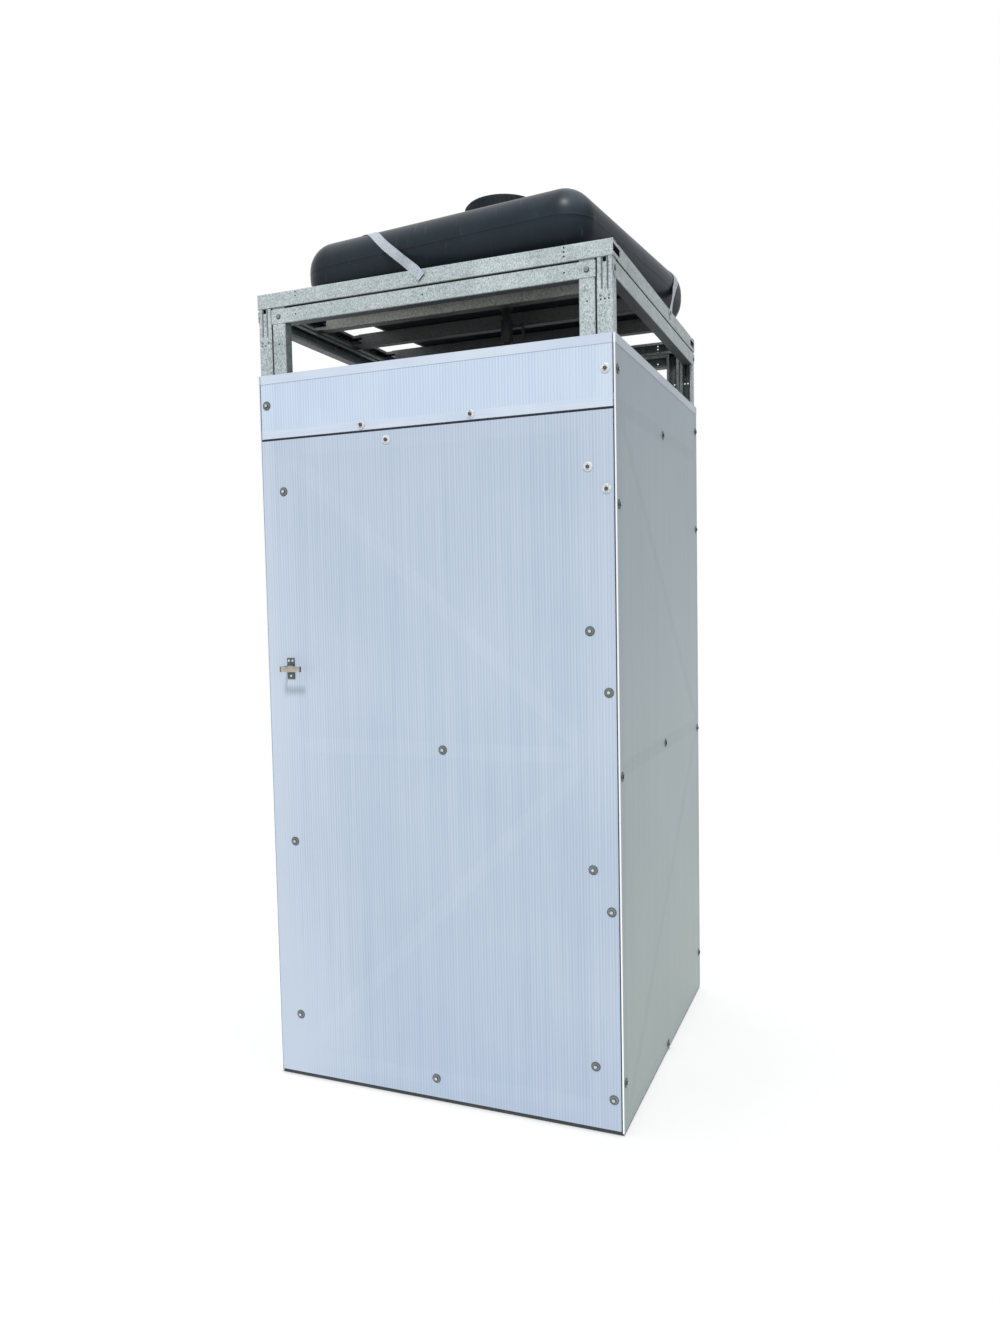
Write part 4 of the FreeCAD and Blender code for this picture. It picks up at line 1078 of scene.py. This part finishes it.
def straps():
    shape = Shape()
    right, rear = Vector((1, 0, 0)), Vector((0, 1, 0))
    flat = Vector((0, 0, 0))
    edge, tail = strap_end(FRONT_STRAP_X, -STRAP_FACE, right, rear * -TAIL_LIFT)
    far_edge, far_tail = strap_end(-STRAP_FACE, LEFT_STRAP_Y, rear, flat)
    over = [Vector(p) for p in FRONT_STRAP_OVER]
    strap(shape, -rear, -right, [tail, edge, *over, far_edge, far_tail])
    edge, tail = strap_end(STRAP_FACE, RIGHT_STRAP_Y, -rear, flat)
    far_edge, far_tail = strap_end(REAR_STRAP_X, STRAP_FACE, -right, flat)
    over = [Vector(p) for p in REAR_STRAP_OVER]
    strap(shape, right, rear, [tail, edge, *over, far_edge, far_tail])
    made = shape.build("tank_straps_detail", [strap_zinc], sharp=50.0)
    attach(made, "frame")
    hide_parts("tank_straps")


door_sheet()
screws("wall_screws", "frame")
screws("door_screws", "door")
dome_bolts()
latch_screws()
tank()
lid()
straps()


# Floor, light and camera

FLOOR_R = 3.4
FLOOR_FADE = (1.2, 3.2)
FLOOR_DOWN = 0.001
FLOOR_TONES = ((0.84, 0.84, 0.84, 1), (0.88, 0.88, 0.88, 1))
BACKDROP = 1.0
SOFT_LIGHT = 0.66
SUN_POWER = 2.2
SUN_SPREAD = radians(9.0)
SUN_UP = radians(58)
SUN_ROUND = radians(18)

# Camera fitted to the photograph: its place, turns, and focal length in pixels of the picture's height
CAMERA_AT = (1.1205, -2.7833, 1.3266)
CAMERA_YAW = radians(-22.10)
CAMERA_PITCH = radians(3.66)
CAMERA_ROLL = radians(-1.13)
FOCAL_PIXELS = 976.3
PICTURE_PIXELS = 1333.0
SENSOR = 36.0


def floor():
    net = Net("floor")
    point = net.place()[0]
    dust = net.noise(point, scale=3.0)
    net.set(Base_Color=net.mix(dust, *FLOOR_TONES), Roughness=0.9)
    net.set(Specular_IOR_Level=0.1)
    net.set(Alpha=net.ramp(net.length(point), *FLOOR_FADE, 1.0, 0.0))
    at = (0, 0, -FLOOR_DOWN)
    bpy.ops.mesh.primitive_circle_add(vertices=64, radius=FLOOR_R, fill_type="NGON", location=at)
    ground = bpy.context.object
    ground.name = "floor"
    ground.data.materials.append(net.material)


def world():
    """Even light on the object; the background and what mirrors it are white."""
    made = bpy.data.worlds.new("studio")
    bpy.context.scene.world = made
    made.use_nodes = True
    tree = made.node_tree
    path = tree.nodes.new("ShaderNodeLightPath")
    seen = path.outputs["Is Camera Ray"]
    for ray in ("Is Transmission Ray", "Is Glossy Ray"):
        either = tree.nodes.new("ShaderNodeMath")
        either.operation = "MAXIMUM"
        tree.links.new(seen, either.inputs[0])
        tree.links.new(path.outputs[ray], either.inputs[1])
        seen = either.outputs[0]
    level = tree.nodes.new("ShaderNodeMapRange")
    level.inputs["To Min"].default_value = SOFT_LIGHT
    level.inputs["To Max"].default_value = BACKDROP
    tree.links.new(seen, level.inputs["Value"])
    back = tree.nodes["Background"]
    back.inputs["Color"].default_value = (1.0, 1.0, 1.0, 1.0)
    tree.links.new(level.outputs[0], back.inputs["Strength"])


def key_light():
    lamp = bpy.data.lights.new("key", "SUN")
    lamp.energy = SUN_POWER
    lamp.angle = SUN_SPREAD
    made = bpy.data.objects.new("key", lamp)
    made.rotation_euler = (pi / 2 - SUN_UP, 0.0, SUN_ROUND)
    bpy.context.scene.collection.objects.link(made)


def camera():
    level = Matrix(((1, 0, 0), (0, 0, -1), (0, 1, 0)))
    tilt = Matrix.Rotation(CAMERA_PITCH, 3, "X")
    spin = Matrix.Rotation(CAMERA_ROLL, 3, "Z")
    rows = spin @ tilt @ level @ Matrix.Rotation(CAMERA_YAW, 3, "Z")
    axes = Matrix((rows[0], -rows[1], -rows[2])).transposed()
    data = bpy.data.cameras.new("camera")
    data.sensor_width = SENSOR
    data.lens = FOCAL_PIXELS * SENSOR / PICTURE_PIXELS
    made = bpy.data.objects.new("camera", data)
    made.matrix_world = Matrix.Translation(CAMERA_AT) @ axes.to_4x4()
    bpy.context.scene.collection.objects.link(made)
    bpy.context.scene.camera = made


floor()
world()
key_light()
camera()
bpy.context.scene.view_settings.view_transform = "Standard"
